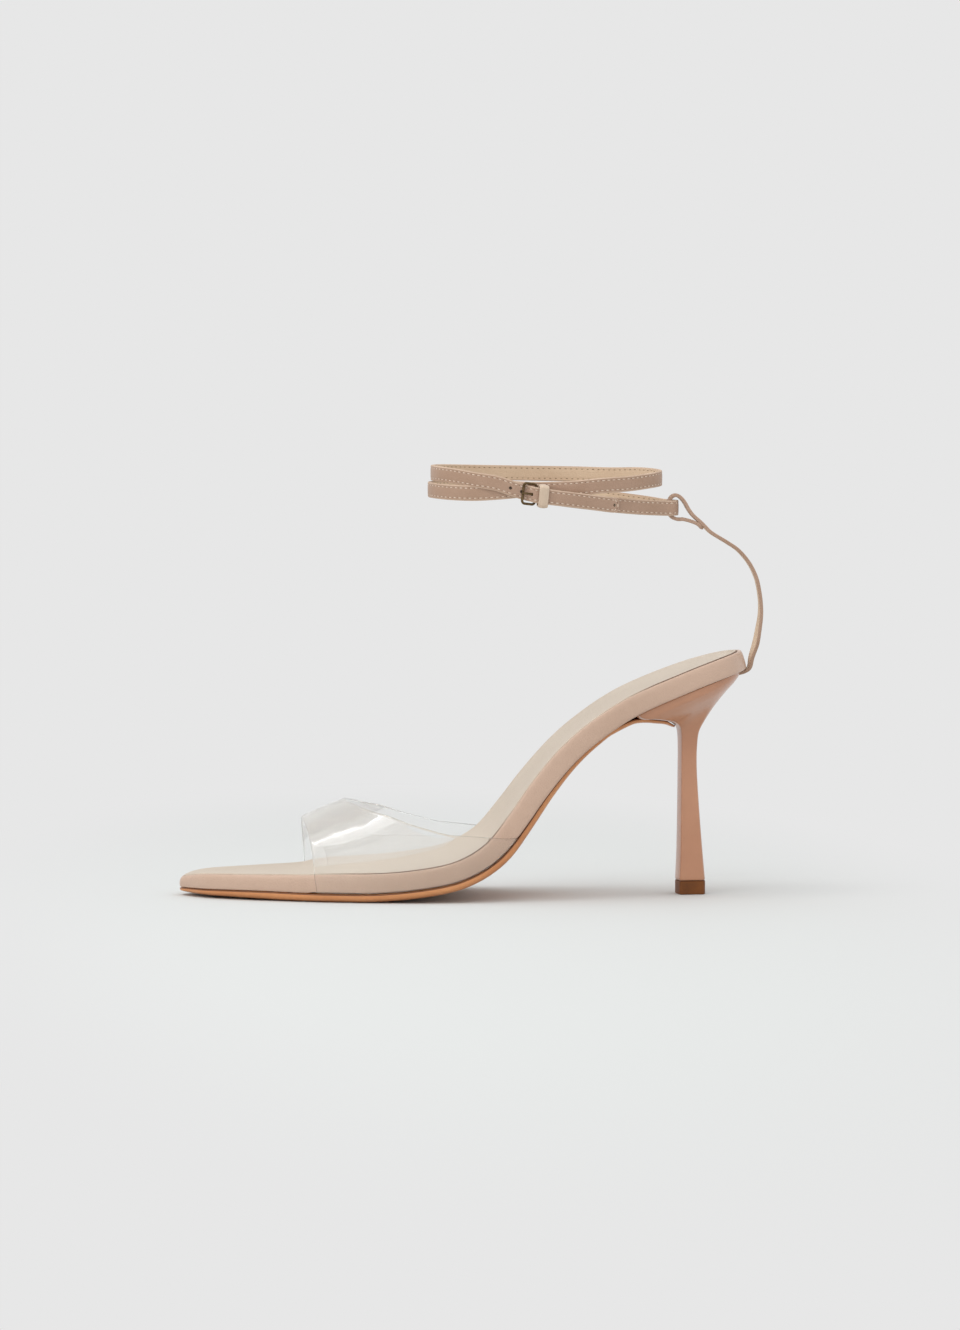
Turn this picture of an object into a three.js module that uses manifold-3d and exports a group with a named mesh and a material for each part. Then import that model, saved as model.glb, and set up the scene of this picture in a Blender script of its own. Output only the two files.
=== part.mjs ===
// A left sandal with a stem heel, a clear vamp and a thin strap wrapped twice round the ankle.
// Millimetres. The toe points to -X, the outer side of the foot is -Y, and the shoe stands on z = 0.
import * as THREE from "three";
import { mergeVertices } from "three/addons/utils/BufferGeometryUtils.js";
import Module from "manifold-3d";

const wasm = await Module();
wasm.setup();

// Driving sizes
const gap = 0.3; // clearance between pieces that meet
const soleReach = 224.4; // toe tip to heel back, measured level
const seatRise = 86; // how far the seat's back is above the forefoot
const toeSpring = 0.3;
const ballWidth = 76.2;
const waistWidth = 48.6;
const heelWidth = 52;
const toeSwing = 8; // the toe tip lies this far to the inner side of the heel's axis
const footbedThickness = 7.6;
const footbedCup = 1.1; // depth of the hollow in the middle of the footbed
const archBank = 1.9; // how much thicker the footbed is along its inner edge, at the arch
const insoleThickness = 0.8;
const insoleRecess = 1; // the insole lies in a recess this deep
const insoleMargin = 1.7; // the footbed's rim round the recess
const outsoleThickness = 3.2;
const tongueLength = 30; // the outsole's end, lying on the heel's breast
const vampThickness = 0.9;
const lastingMargin = 6; // how far the vamp is tucked under the footbed
const toeVampRise = 19.4; // inside height of the vamp at its front edge, above the footbed
const heelTipHeight = 5.3;
const heelTipLength = 11.2;
const heelTipWidth = 10.4;
const heelTipEase = 0.35; // bevel round the tip's tread
const stemTop = 61.2; // height at which the stem starts to flare
const seatLength = 44; // heel seat, breast to back
const stemTurn = 6; // degrees the stem's front is turned to the outer side
const strapWidth = 6;
const strapThickness = 1.3;
const ankleLength = 92; // front to back of the upper wrap
const ankleWidth = 50; // side to side of the upper wrap
const ankleHeight = 167.7; // the upper wrap's front, above the floor
const wrapDrop = 14.6; // from there down to the heel strap's loop
const foldThickness = 2.1; // the strap folded round the buckle's bar
const foldLength = 3; // how far it stays folded
const heelStrapWidth = 5.4;
const heelStrapThickness = 1.4;
const heelStrapBow = 19.5; // how far it bows out behind the straight line from seat to loop
const tuckLength = 11; // its length between footbed and heel seat
const buckleWire = 1;
const buckleLength = 5.2; // bar to bar, centre to centre
const buckleCorner = 1.2; // radius of the frame's corners
const strapPlay = 0.5; // room above and below the strap in the buckle and the keeper
const keeperLength = 3.8;
const keeperThickness = 0.8;
const keeperBehindBar = 1.5; // from the bar's middle to the keeper
const buckleTurn = 5; // degrees the buckle and the keeper sit straighter than the strap

const colour = {
  leather: 0xc3ab9c,
  lining: 0xd2bfae,
  sole: 0xb87a4e,
  heel: 0xb58a6c,
  tip: 0x6a3f22,
  clear: 0xe6ebe8,
  metal: 0x7a6446,
};

// Solids

const vector = (x, y, z) => new THREE.Vector3(x, y, z);

function toSolid(geometry) {
  const bare = geometry.index ? geometry.toNonIndexed() : geometry.clone();
  bare.deleteAttribute("normal");
  bare.deleteAttribute("uv");
  const merged = mergeVertices(bare, 1e-4);
  const solid = new wasm.Manifold(
    new wasm.Mesh({
      numProp: 3,
      vertProperties: new Float32Array(merged.attributes.position.array),
      triVerts: new Uint32Array(merged.index.array),
    }),
  );
  return solid;
}

function toGeometry(solid) {
  const mesh = solid.getMesh();
  const position = new Float32Array(mesh.numVert * 3);
  for (let i = 0; i < mesh.numVert; i++) {
    position.set(mesh.vertProperties.subarray(i * mesh.numProp, i * mesh.numProp + 3), i * 3);
  }
  const geometry = new THREE.BufferGeometry();
  geometry.setAttribute("position", new THREE.BufferAttribute(position, 3));
  geometry.setIndex(new THREE.BufferAttribute(new Uint32Array(mesh.triVerts), 1));
  geometry.computeVertexNormals();
  return geometry;
}

// Points and triangles to a closed geometry that faces outwards, whichever way it was wound.
function closedGeometry(points, triangles) {
  let volume = 0;
  for (const [a, b, c] of triangles) {
    volume += points[a].dot(vector(0, 0, 0).crossVectors(points[b], points[c]));
  }
  const index = triangles.flatMap(([a, b, c]) => (volume > 0 ? [a, b, c] : [a, c, b]));
  const geometry = new THREE.BufferGeometry().setFromPoints(points);
  geometry.setIndex(index);
  return geometry;
}

function quad(triangles, a, b, c, d) {
  if (a !== b && b !== c && a !== c) triangles.push([a, b, c]);
  if (a !== c && c !== d && a !== d) triangles.push([a, c, d]);
}

// Rings of equal length, joined in order and closed at both ends by a fan.
function loft(rings) {
  const size = rings[0].length;
  const points = rings.flat();
  const triangles = [];
  for (let r = 0; r + 1 < rings.length; r++) {
    for (let i = 0; i < size; i++) {
      const j = (i + 1) % size;
      quad(triangles, r * size + i, r * size + j, (r + 1) * size + j, (r + 1) * size + i);
    }
  }
  for (const [ring, end] of [[rings[0], 0], [rings[rings.length - 1], rings.length - 1]]) {
    const middle = ring.reduce((sum, p) => sum.add(p), vector(0, 0, 0)).divideScalar(size);
    points.push(middle);
    for (let i = 0; i < size; i++) {
      const a = end * size + i;
      const b = end * size + ((i + 1) % size);
      triangles.push(end === 0 ? [points.length - 1, b, a] : [points.length - 1, a, b]);
    }
  }
  return closedGeometry(points, triangles);
}

// A value read between the rows of a table, by its first column, along a smooth line.
function readTable(rows, key, name, at) {
  const curve = new THREE.CatmullRomCurve3(rows.map((row) => vector(row[key], row[name], 0)));
  let low = 0;
  let high = 1;
  for (let step = 0; step < 40; step++) {
    const middle = (low + high) / 2;
    if (curve.getPoint(middle).x < at) low = middle;
    else high = middle;
  }
  return curve.getPoint(low).y;
}

// The line under the footbed, in side view. Shares of soleReach and seatRise.
const sideProfile = [
  { along: 0.23, rise: 0 },
  { along: 0.26, rise: 0 },
  { along: 0.29, rise: 0 },
  { along: 0.33, rise: 0.0015 },
  { along: 0.401, rise: 0.0171 },
  { along: 0.467, rise: 0.0464 },
  { along: 0.4987, rise: 0.0741 },
  { along: 0.5303, rise: 0.1173 },
  { along: 0.5615, rise: 0.1815 },
  { along: 0.6034, rise: 0.3187 },
  { along: 0.6373, rise: 0.4394 },
  { along: 0.6814, rise: 0.5742 },
  { along: 0.7219, rise: 0.6696 },
  { along: 0.7928, rise: 0.7941 },
  { along: 0.8908, rise: 0.9068 },
  { along: 0.9532, rise: 0.9649 },
  { along: 1, rise: 1 },
];
const restHeight = outsoleThickness + gap;

// The toe's lift, as shares of toeSpring: it dips again at the very tip.
const toeProfile = [
  { along: 0, lift: -1.2 },
  { along: 0.045, lift: 0.2 },
  { along: 0.09, lift: 0.9 },
  { along: 0.145, lift: 1 },
  { along: 0.2, lift: 0.3 },
];

function sideCurve(points) {
  const curve = new THREE.CatmullRomCurve3(points, false, "centripetal");
  curve.arcLengthDivisions = 600;
  return curve;
}

const footbedCurve = sideCurve([
  ...toeProfile.map(({ along, lift }) => vector(along * soleReach, 0, restHeight + lift * toeSpring)),
  ...sideProfile.map(({ along, rise }) => vector(along * soleReach, 0, restHeight + rise * seatRise)),
]);

// The footbed is thinner at the toe. Shares of its length and of footbedThickness.
const toeThinning = [
  { along: 0, share: 0.68 },
  { along: 0.05, share: 0.77 },
  { along: 0.1, share: 0.8 },
  { along: 0.18, share: 0.9 },
  { along: 0.27, share: 1 },
  { along: 0.5, share: 1 },
];

// How much of the arch's bank there is along the footbed.
const banking = [
  { along: 0.1, share: 0 },
  { along: 0.16, share: 0 },
  { along: 0.27, share: 0.95 },
  { along: 0.4, share: 1 },
  { along: 0.6, share: 1.05 },
  { along: 0.75, share: 1 },
  { along: 0.88, share: 0.6 },
  { along: 1, share: 0.15 },
];

// Carries (along, across, height) to the part's frame, bent to a side curve and straight past its ends.
class SideFrame {
  constructor(curve) {
    this.curve = curve;
    this.length = curve.getLength();
  }

  place(along, across, height) {
    const share = THREE.MathUtils.clamp(along / this.length, 0, 1);
    const tangent = this.curve.getTangentAt(share);
    const point = this.curve.getPointAt(share);
    point.addScaledVector(tangent, along - share * this.length);
    point.x -= tangent.z * height;
    point.z += tangent.x * height;
    point.y = across;
    return point;
  }
}

const footbedFrame = new SideFrame(footbedCurve);
const soleLength = footbedFrame.length;

// The footbed's outline from above. Along is a share of its length, and each side is a share of the row's width.
const footbedRows = [
  { along: 0.012, width: ballWidth, outer: -0.022, inner: 0.2 },
  { along: 0.04, width: ballWidth, outer: 0.11, inner: 0.272 },
  { along: 0.08, width: ballWidth, outer: 0.205, inner: 0.323 },
  { along: 0.12, width: ballWidth, outer: 0.278, inner: 0.366 },
  { along: 0.18, width: ballWidth, outer: 0.37, inner: 0.425 },
  { along: 0.24, width: ballWidth, outer: 0.438, inner: 0.467 },
  { along: 0.3, width: ballWidth, outer: 0.487, inner: 0.489 },
  { along: 0.36, width: ballWidth, outer: 0.513, inner: 0.486 },
  { along: 0.42, width: ballWidth, outer: 0.514, inner: 0.463 },
  { along: 0.48, width: ballWidth, outer: 0.487, inner: 0.42 },
  { along: 0.54, width: ballWidth, outer: 0.446, inner: 0.368 },
  { along: 0.6, width: ballWidth, outer: 0.406, inner: 0.322 },
  { along: 0.66, width: waistWidth, outer: 0.587, inner: 0.453 },
  { along: 0.72, width: waistWidth, outer: 0.557, inner: 0.443 },
  { along: 0.78, width: waistWidth, outer: 0.551, inner: 0.469 },
  { along: 0.84, width: heelWidth, outer: 0.519, inner: 0.471 },
  { along: 0.885, width: heelWidth, outer: 0.508, inner: 0.49 },
  { along: 0.925, width: heelWidth, outer: 0.464, inner: 0.457 },
  { along: 0.96, width: heelWidth, outer: 0.378, inner: 0.376 },
  { along: 0.986, width: heelWidth, outer: 0.236, inner: 0.236 },
];

// Both sides of an outline as matched points, toe first, closer together at the two ends.
function outline(rows, length, tipAcross, count) {
  const tip = vector(0, tipAcross, 0);
  const back = vector(length, 0, 0);
  const side = (name, sign) => rows.map((row) => vector(row.along * length, sign * row[name] * row.width, 0));
  const outer = side("outer", -1);
  const inner = side("inner", 1);
  const loop = [tip, ...outer, back, ...inner.slice().reverse()];
  const curve = new THREE.CatmullRomCurve3(loop, true, "centripetal");
  const turnings = loop.length;
  const backShare = (outer.length + 1) / turnings;
  const bunching = 0.4;
  const sides = { outer: [], inner: [] };
  for (let i = 0; i <= count; i++) {
    const even = i / count;
    const share = even - (bunching * Math.sin(2 * Math.PI * even)) / (2 * Math.PI);
    sides.outer.push(curve.getPoint(share * backShare));
    sides.inner.push(curve.getPoint((1 - share * (1 - backShare)) % 1));
  }
  return sides;
}

// The same outline moved inwards, or outwards when the distance is negative.
function inset({ outer, inner }, distance) {
  const loop = [...outer, ...inner.slice(1, -1).reverse()];
  const moved = loop.map((point, i) => {
    const before = loop[(i + loop.length - 1) % loop.length];
    const after = loop[(i + 1) % loop.length];
    const run = vector(0, 0, 0).subVectors(after, before).normalize();
    return vector(point.x - run.y * distance, point.y + run.x * distance, 0);
  });
  const count = outer.length;
  return {
    outer: moved.slice(0, count),
    inner: [moved[0], ...moved.slice(count).reverse(), moved[count - 1]],
  };
}

// A slab that follows a side curve. Each ring has an inset and a height, bottom first, and heights may be
// functions of the place along. The caps are strips across, with the top sunk by the cup.
function slab(frame, sides, rings, cup, columns) {
  const count = sides.outer.length;
  const points = [];
  const triangles = [];
  const level = (height, along, across) => (typeof height === "function" ? height(along, across) : height);
  const ringStarts = rings.map(({ inward, height }) => {
    const { outer, inner } = inset(sides, inward);
    const loop = [...outer, ...inner.slice(1, -1).reverse()];
    const start = points.length;
    for (const p of loop) points.push(frame.place(p.x, p.y, level(height, p.x, p.y)));
    return start;
  });
  const size = 2 * count - 2;
  for (let r = 0; r + 1 < rings.length; r++) {
    for (let i = 0; i < size; i++) {
      const j = (i + 1) % size;
      quad(triangles, ringStarts[r] + i, ringStarts[r] + j, ringStarts[r + 1] + j, ringStarts[r + 1] + i);
    }
  }
  const cap = (ring, start, sunk, upward) => {
    const { outer, inner } = inset(sides, ring.inward);
    const lines = outer.map((p, i) => {
      const first = start + i;
      const last = i === 0 || i === count - 1 ? first : start + size - i;
      const line = [first];
      for (let c = 1; c < columns; c++) {
        if (last === first) {
          line.push(first);
          continue;
        }
        const share = c / columns;
        const along = THREE.MathUtils.lerp(p.x, inner[i].x, share);
        const across = THREE.MathUtils.lerp(p.y, inner[i].y, share);
        const dip = sunk ? cup(along) * (1 - (2 * share - 1) ** 2) : 0;
        points.push(frame.place(along, across, level(ring.height, along, across) - dip));
        line.push(points.length - 1);
      }
      line.push(last);
      return line;
    });
    for (let i = 0; i + 1 < count; i++) {
      for (let c = 0; c < columns; c++) {
        const corners = [lines[i][c], lines[i][c + 1], lines[i + 1][c + 1], lines[i + 1][c]];
        if (upward) corners.reverse();
        quad(triangles, ...corners);
      }
    }
  };
  cap(rings[0], ringStarts[0], rings[0].cupped, false);
  cap(rings[rings.length - 1], ringStarts[rings.length - 1], rings[rings.length - 1].cupped, true);
  return closedGeometry(points, triangles);
}

const stationCount = 50;
const footbedSides = outline(footbedRows, soleLength, toeSwing, stationCount);
const hollow = (along) => footbedCup * THREE.MathUtils.smoothstep(along, 0.12 * soleLength, 0.45 * soleLength);

// Height of the footbed's top at a place along and across.
function topAt(along, across = 0) {
  const share = THREE.MathUtils.clamp(along / soleLength, 0.0001, 0.9999);
  const thin = share > 0.3 ? 1 : readTable(toeThinning, "along", "share", share);
  const bank = share < 0.16 ? 0 : readTable(banking, "along", "share", share);
  return footbedThickness * thin + archBank * bank * THREE.MathUtils.clamp(across / ballWidth + 0.5, 0, 1);
}

// Where the outline is at a place along, on one side.
function edgeAt(side, along) {
  const points = footbedSides[side];
  const next = points.findIndex((p) => p.x >= along);
  const share = (along - points[next - 1].x) / (points[next].x - points[next - 1].x);
  return THREE.MathUtils.lerp(points[next - 1].y, points[next].y, share);
}

// The clear vamp. Round is 0 at the crown and 1 where it meets the footbed's top edge. Its front edge, on
// the outer and the inner side, and its rear edge are shares of the sole's length.
const vampEdges = [
  { round: 0, outer: 0.187, inner: 0.187, rear: 0.257 },
  { round: 0.2, outer: 0.188, inner: 0.1875, rear: 0.2625 },
  { round: 0.36, outer: 0.191, inner: 0.189, rear: 0.2805 },
  { round: 0.47, outer: 0.193, inner: 0.19, rear: 0.301 },
  { round: 0.575, outer: 0.195, inner: 0.1915, rear: 0.329 },
  { round: 0.667, outer: 0.197, inner: 0.193, rear: 0.355 },
  { round: 0.741, outer: 0.198, inner: 0.194, rear: 0.381 },
  { round: 0.833, outer: 0.2, inner: 0.1955, rear: 0.425 },
  { round: 0.918, outer: 0.201, inner: 0.1965, rear: 0.478 },
  { round: 1, outer: 0.202, inner: 0.1975, rear: 0.516 },
];
const featherEdge = { outer: 0.206, inner: 0.2, rear: 0.54 };

// Height of the last's crown above the footbed, as shares of toeVampRise.
const crownRise = [
  { along: 0.1, rise: 0.6 },
  { along: 0.187, rise: 1.055 },
  { along: 0.222, rise: 1.24 },
  { along: 0.257, rise: 1.4 },
  { along: 0.32, rise: 1.7 },
  { along: 0.4, rise: 2.05 },
  { along: 0.5, rise: 2.45 },
  { along: 0.58, rise: 2.7 },
];
const sectionPower = 2.2; // roundness of the last's section: 2 is an ellipse

// Stations round the vamp: a list of places on its middle surface, from the outer tuck over the crown to
// the inner tuck. Each gives the across and height for a place along the sole.
function vampStations(archSteps, tuck) {
  const half = vampThickness / 2;
  const clear = gap + half;
  const low = half; // the margin lies in its rebate, level with the footbed's underside
  const side = (name, sign) => [
    { edge: feather(name), at: (s) => [edgeAt(name, s) - sign * tuck, low] },
    { edge: feather(name), at: (s) => [edgeAt(name, s) - sign * (tuck / 3), low] },
    { edge: feather(name), at: (s) => [edgeAt(name, s) + sign * (clear - 0.4 * half), low] },
    { edge: feather(name), at: (s) => [edgeAt(name, s) + sign * clear, low + 1.2 * half] },
    { edge: middleEdge(name), at: (s) => [edgeAt(name, s) + sign * clear, topAt(s, edgeAt(name, s)) / 2] },
  ];
  const arch = [];
  for (let i = 0; i <= archSteps; i++) {
    const signed = (2 * i) / archSteps - 1;
    const round = Math.abs(signed);
    const sign = signed < 0 ? -1 : 1;
    const name = sign < 0 ? "outer" : "inner";
    const edge = {
      front: readTable(vampEdges, "round", name, Math.min(round, 0.9999)),
      rear: readTable(vampEdges, "round", "rear", Math.min(round, 0.9999)),
    };
    const angle = (round * Math.PI) / 2;
    const spread = Math.sin(angle) ** (2 / sectionPower);
    const height = Math.cos(angle) ** (2 / sectionPower);
    arch.push({
      edge,
      at: (s) => {
        const crown = (edgeAt("outer", s) + edgeAt("inner", s)) / 2;
        const reach = edgeAt(name, s) + sign * clear - crown;
        const rise = toeVampRise * readTable(crownRise, "along", "rise", s / soleLength);
        return [crown + reach * spread, topAt(s, -ballWidth / 2) + rise * height];
      },
    });
  }
  return [...side("outer", -1), ...arch, ...side("inner", 1).reverse()];
}

function feather(name) {
  return { front: featherEdge[name], rear: featherEdge.rear };
}

// Half-way down the footbed's side.
function middleEdge(name) {
  const last = vampEdges[vampEdges.length - 1];
  return { front: (last[name] + featherEdge[name]) / 2, rear: (last.rear + featherEdge.rear) / 2 };
}

function vampGeometry() {
  const steps = 10;
  const stations = vampStations(22, lastingMargin);
  const flat = stations.map(({ edge, at }) => {
    const line = [];
    for (let k = 0; k <= steps; k++) {
      const along = soleLength * THREE.MathUtils.lerp(edge.front, edge.rear, k / steps);
      line.push({ along, spot: at(along), at });
    }
    return line;
  });
  const points = [];
  const half = vampThickness / 2;
  const faces = [-half, half].map((offset) =>
    flat.map((line, i) =>
      line.map(({ along, spot }) => {
        const before = flat[Math.max(i - 1, 0)][0].at(along);
        const after = flat[Math.min(i + 1, flat.length - 1)][0].at(along);
        const run = new THREE.Vector2(after[0] - before[0], after[1] - before[1]).normalize();
        points.push(footbedFrame.place(along, spot[0] - run.y * offset, spot[1] + run.x * offset));
        return points.length - 1;
      }),
    ),
  );
  const [inside, outside] = faces;
  const triangles = [];
  for (let i = 0; i + 1 < flat.length; i++) {
    for (let k = 0; k < steps; k++) {
      quad(triangles, outside[i][k], outside[i][k + 1], outside[i + 1][k + 1], outside[i + 1][k]);
      quad(triangles, inside[i][k], inside[i + 1][k], inside[i + 1][k + 1], inside[i][k + 1]);
    }
    quad(triangles, inside[i][0], outside[i][0], outside[i + 1][0], inside[i + 1][0]);
    quad(triangles, inside[i][steps], inside[i + 1][steps], outside[i + 1][steps], outside[i][steps]);
  }
  const last = flat.length - 1;
  for (let k = 0; k < steps; k++) {
    quad(triangles, inside[0][k], inside[0][k + 1], outside[0][k + 1], outside[0][k]);
    quad(triangles, inside[last][k], outside[last][k], outside[last][k + 1], inside[last][k + 1]);
  }
  return closedGeometry(points, triangles);
}

// The space that the vamp's tucked margin needs under the footbed, on one side.
function tuckSpace(name, sign) {
  const rings = [];
  const steps = 24;
  const start = featherEdge[name] * soleLength - gap;
  const end = featherEdge.rear * soleLength + gap;
  const beyond = 4;
  for (let k = 0; k <= steps; k++) {
    const along = THREE.MathUtils.lerp(start, end, k / steps);
    const edge = edgeAt(name, along);
    const corners = [
      [edge + sign * beyond, -beyond],
      [edge + sign * beyond, vampThickness + gap],
      [edge - sign * (lastingMargin + gap), vampThickness + gap],
      [edge - sign * (lastingMargin + gap), -beyond],
    ];
    rings.push(corners.map(([across, height]) => footbedFrame.place(along, across, height)));
  }
  return toSolid(loft(rings));
}

function footbedSolid() {
  const share = (part) => (along, across) => part * topAt(along, across);
  const rings = [
    { inward: 1, height: 0 },
    { inward: 0.25, height: share(0.1) },
    { inward: 0, height: share(0.4) },
    { inward: 0.1, height: share(0.7) },
    { inward: 0.55, height: share(0.92) },
    { inward: 0.8 * insoleMargin, height: share(1) },
    { inward: insoleMargin + 0.1, height: (along, across) => topAt(along, across) - insoleRecess, cupped: true },
  ];
  return toSolid(slab(footbedFrame, footbedSides, rings, hollow, 4));
}

function insoleGeometry() {
  const bottom = (along, across) => topAt(along, across) - insoleRecess + gap;
  const inward = insoleMargin + gap;
  const rings = [
    { inward: inward + 0.1, height: bottom, cupped: true },
    { inward, height: (along, across) => bottom(along, across) + 0.65 * insoleThickness },
    { inward: inward + 0.5, height: (along, across) => bottom(along, across) + insoleThickness, cupped: true },
  ];
  return slab(footbedFrame, footbedSides, rings, hollow, 4);
}

// The heel's stem. Up is a share of stemTop, and the rest are shares of the heel tip's length and width.
const stemRows = [
  { up: 0, breast: -0.5, back: 0.5, width: 1 },
  { up: 0.22, breast: -0.46, back: 0.4, width: 0.93 },
  { up: 0.52, breast: -0.435, back: 0.28, width: 0.86 },
  { up: 0.8, breast: -0.42, back: 0.195, width: 0.83 },
  { up: 0.94, breast: -0.415, back: 0.2, width: 0.84 },
];

// The flare from the stem to the seat: the breast and the back in side view, level shares of seatLength from
// the stem's axis, and shares of the height from stemTop to the seat's back. Width is a share of heelWidth.
const flareRows = [
  { breast: -0.11, breastUp: 0.074, back: 0.07, backUp: 0.12, width: 0.185, turned: 0.9 },
  { breast: -0.122, breastUp: 0.166, back: 0.125, backUp: 0.285, width: 0.23, turned: 0.7 },
  { breast: -0.153, breastUp: 0.219, back: 0.2, backUp: 0.465, width: 0.325, turned: 0.5 },
  { breast: -0.185, breastUp: 0.247, back: 0.255, backUp: 0.575, width: 0.42, turned: 0.3 },
  { breast: -0.235, breastUp: 0.272, back: 0.33, backUp: 0.715, width: 0.57, turned: 0.15 },
  { breast: -0.3, breastUp: 0.29, back: 0.388, backUp: 0.81, width: 0.7, turned: 0 },
  { breast: -0.39, breastUp: 0.307, back: 0.42, backUp: 0.875, width: 0.81, turned: 0 },
  { breast: -0.51, breastUp: 0.318, back: 0.437, backUp: 0.925, width: 0.9, turned: 0 },
  { breast: -0.58, breastUp: 0.42, back: 0.443, backUp: 1, width: 0.94, turned: 0 },
  { breast: -0.58, breastUp: 0.8, back: 0.443, backUp: 1.3, width: 0.94, turned: 0 },
];
const stemAxis = 0.901 * soleReach;
const seatHeight = restHeight + seatRise;

// One section of the heel, between a breast point and a back point, round at the back.
function heelRing(breast, back, width, backRound, frontRound, turn) {
  const ring = [];
  const arcSteps = 5;
  const middle = vector(0, 0, 0).addVectors(breast, back).multiplyScalar(0.5);
  const quarter = (k) => (k / arcSteps) * (Math.PI / 2);
  const half = [];
  for (let k = 0; k <= arcSteps; k++) {
    half.push([frontRound * (1 - Math.cos(quarter(k))), Math.sin(quarter(k))]);
  }
  half.push([(frontRound + 1 - backRound) / 2, 1]);
  for (let k = 0; k <= arcSteps; k++) {
    half.push([1 - backRound + backRound * Math.sin(quarter(k)), Math.cos(quarter(k))]);
  }
  const spots = [...half, ...half.slice(1, -1).reverse().map(([u, v]) => [u, -v])];
  const axis = vector(0, 0, 1);
  for (const [u, v] of spots) {
    const point = vector(0, 0, 0).lerpVectors(breast, back, u);
    point.y -= (v * width) / 2;
    point.sub(middle).applyAxisAngle(axis, THREE.MathUtils.degToRad(turn)).add(middle);
    ring.push(point);
  }
  return ring;
}

function stemPoints({ up, breast, back }) {
  const height = THREE.MathUtils.lerp(heelTipHeight + gap, stemTop, up);
  return [vector(stemAxis + breast * heelTipLength, 0, height), vector(stemAxis + back * heelTipLength, 0, height)];
}

const flareHeight = seatHeight - stemTop;

function flarePoints({ breast, breastUp, back, backUp }) {
  return [
    vector(stemAxis + breast * seatLength, 0, stemTop + breastUp * flareHeight),
    vector(stemAxis + back * seatLength, 0, stemTop + backUp * flareHeight),
  ];
}

const stemFrontRound = 0.05;
const stemBackRound = 0.16;
const seatBackRound = 0.56;

function heelSolid() {
  const rings = stemRows.map((row) => {
    const [breast, back] = stemPoints(row);
    return heelRing(breast, back, row.width * heelTipWidth, stemBackRound, stemFrontRound, stemTurn);
  });
  flareRows.forEach((row, i) => {
    const [breast, back] = flarePoints(row);
    const share = THREE.MathUtils.smoothstep(i / (flareRows.length - 3), 0, 1);
    const backRound = THREE.MathUtils.lerp(stemBackRound, seatBackRound, share);
    const turn = stemTurn * row.turned;
    rings.push(heelRing(breast, back, row.width * heelWidth, backRound, stemFrontRound, turn));
  });
  const over = 40;
  const seatCut = slab(
    footbedFrame,
    footbedSides,
    [
      { inward: -over / 4, height: -gap },
      { inward: -over / 4, height: over },
    ],
    hollow,
    2,
  );
  return toSolid(loft(rings)).subtract(toSolid(seatCut)).subtract(heelStrapPocket());
}

function heelTipGeometry() {
  const [breast, back] = stemPoints(stemRows[0]);
  const ring = (height, shrink) => {
    const low = breast.clone().setZ(height);
    const high = back.clone().setZ(height);
    low.x += shrink;
    high.x -= shrink;
    return heelRing(low, high, heelTipWidth - 2 * shrink, stemBackRound, stemFrontRound, stemTurn);
  };
  const top = heelTipEase / 2;
  return loft([ring(0, heelTipEase), ring(heelTipEase, 0), ring(heelTipHeight - top, 0), ring(heelTipHeight, top)]);
}

// The outsole follows the footbed, then leaves it and lies on the heel's breast.
const tongueStart = 0.755; // share of the sole's length where it leaves the footbed

const outsoleFrame = (() => {
  const points = [];
  const steps = 44;
  for (let k = 0; k <= steps; k++) {
    points.push(footbedFrame.place((tongueStart * soleLength * k) / steps, 0, -gap));
  }
  for (const row of flareRows.slice(1, 8).reverse()) {
    const [breast] = flarePoints(row);
    points.push(vector(breast.x - gap, 0, breast.z - 1.6 * gap));
  }
  const curve = sideCurve(points);
  const whole = curve.getLength();
  const end = tongueStart * soleLength + tongueLength;
  const kept = points.slice(0, steps + 1);
  for (let s = tongueStart * soleLength + 3; s <= end + 0.01; s += (tongueLength - 3) / 6) {
    kept.push(curve.getPointAt(Math.min(s / whole, 1)));
  }
  return new SideFrame(sideCurve(kept));
})();

// Waist and tongue of the outsole: how much of the footbed's width it keeps.
const outsoleLength = outsoleFrame.length;
const keptWidth = [
  { along: 0, keep: 0.99 },
  { along: 0.5, keep: 0.99 },
  { along: 0.62, keep: 0.95 },
  { along: 0.72, keep: 0.88 },
  { along: 0.8, keep: 0.82 },
  { along: 0.88, keep: 0.72 },
  { along: 0.93, keep: 0.56 },
  { along: 0.975, keep: 0.3 },
  { along: 1, keep: 0.12 },
];
const outsoleSubstance = [
  { along: 0, share: 0.48 },
  { along: 0.04, share: 0.74 },
  { along: 0.09, share: 0.86 },
  { along: 0.17, share: 1 },
  { along: 0.3, share: 1 },
  { along: 0.5, share: 1 },
  { along: 0.65, share: 0.86 },
  { along: 0.8, share: 0.6 },
  { along: 0.9, share: 0.46 },
  { along: 1, share: 0.28 },
];

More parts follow.
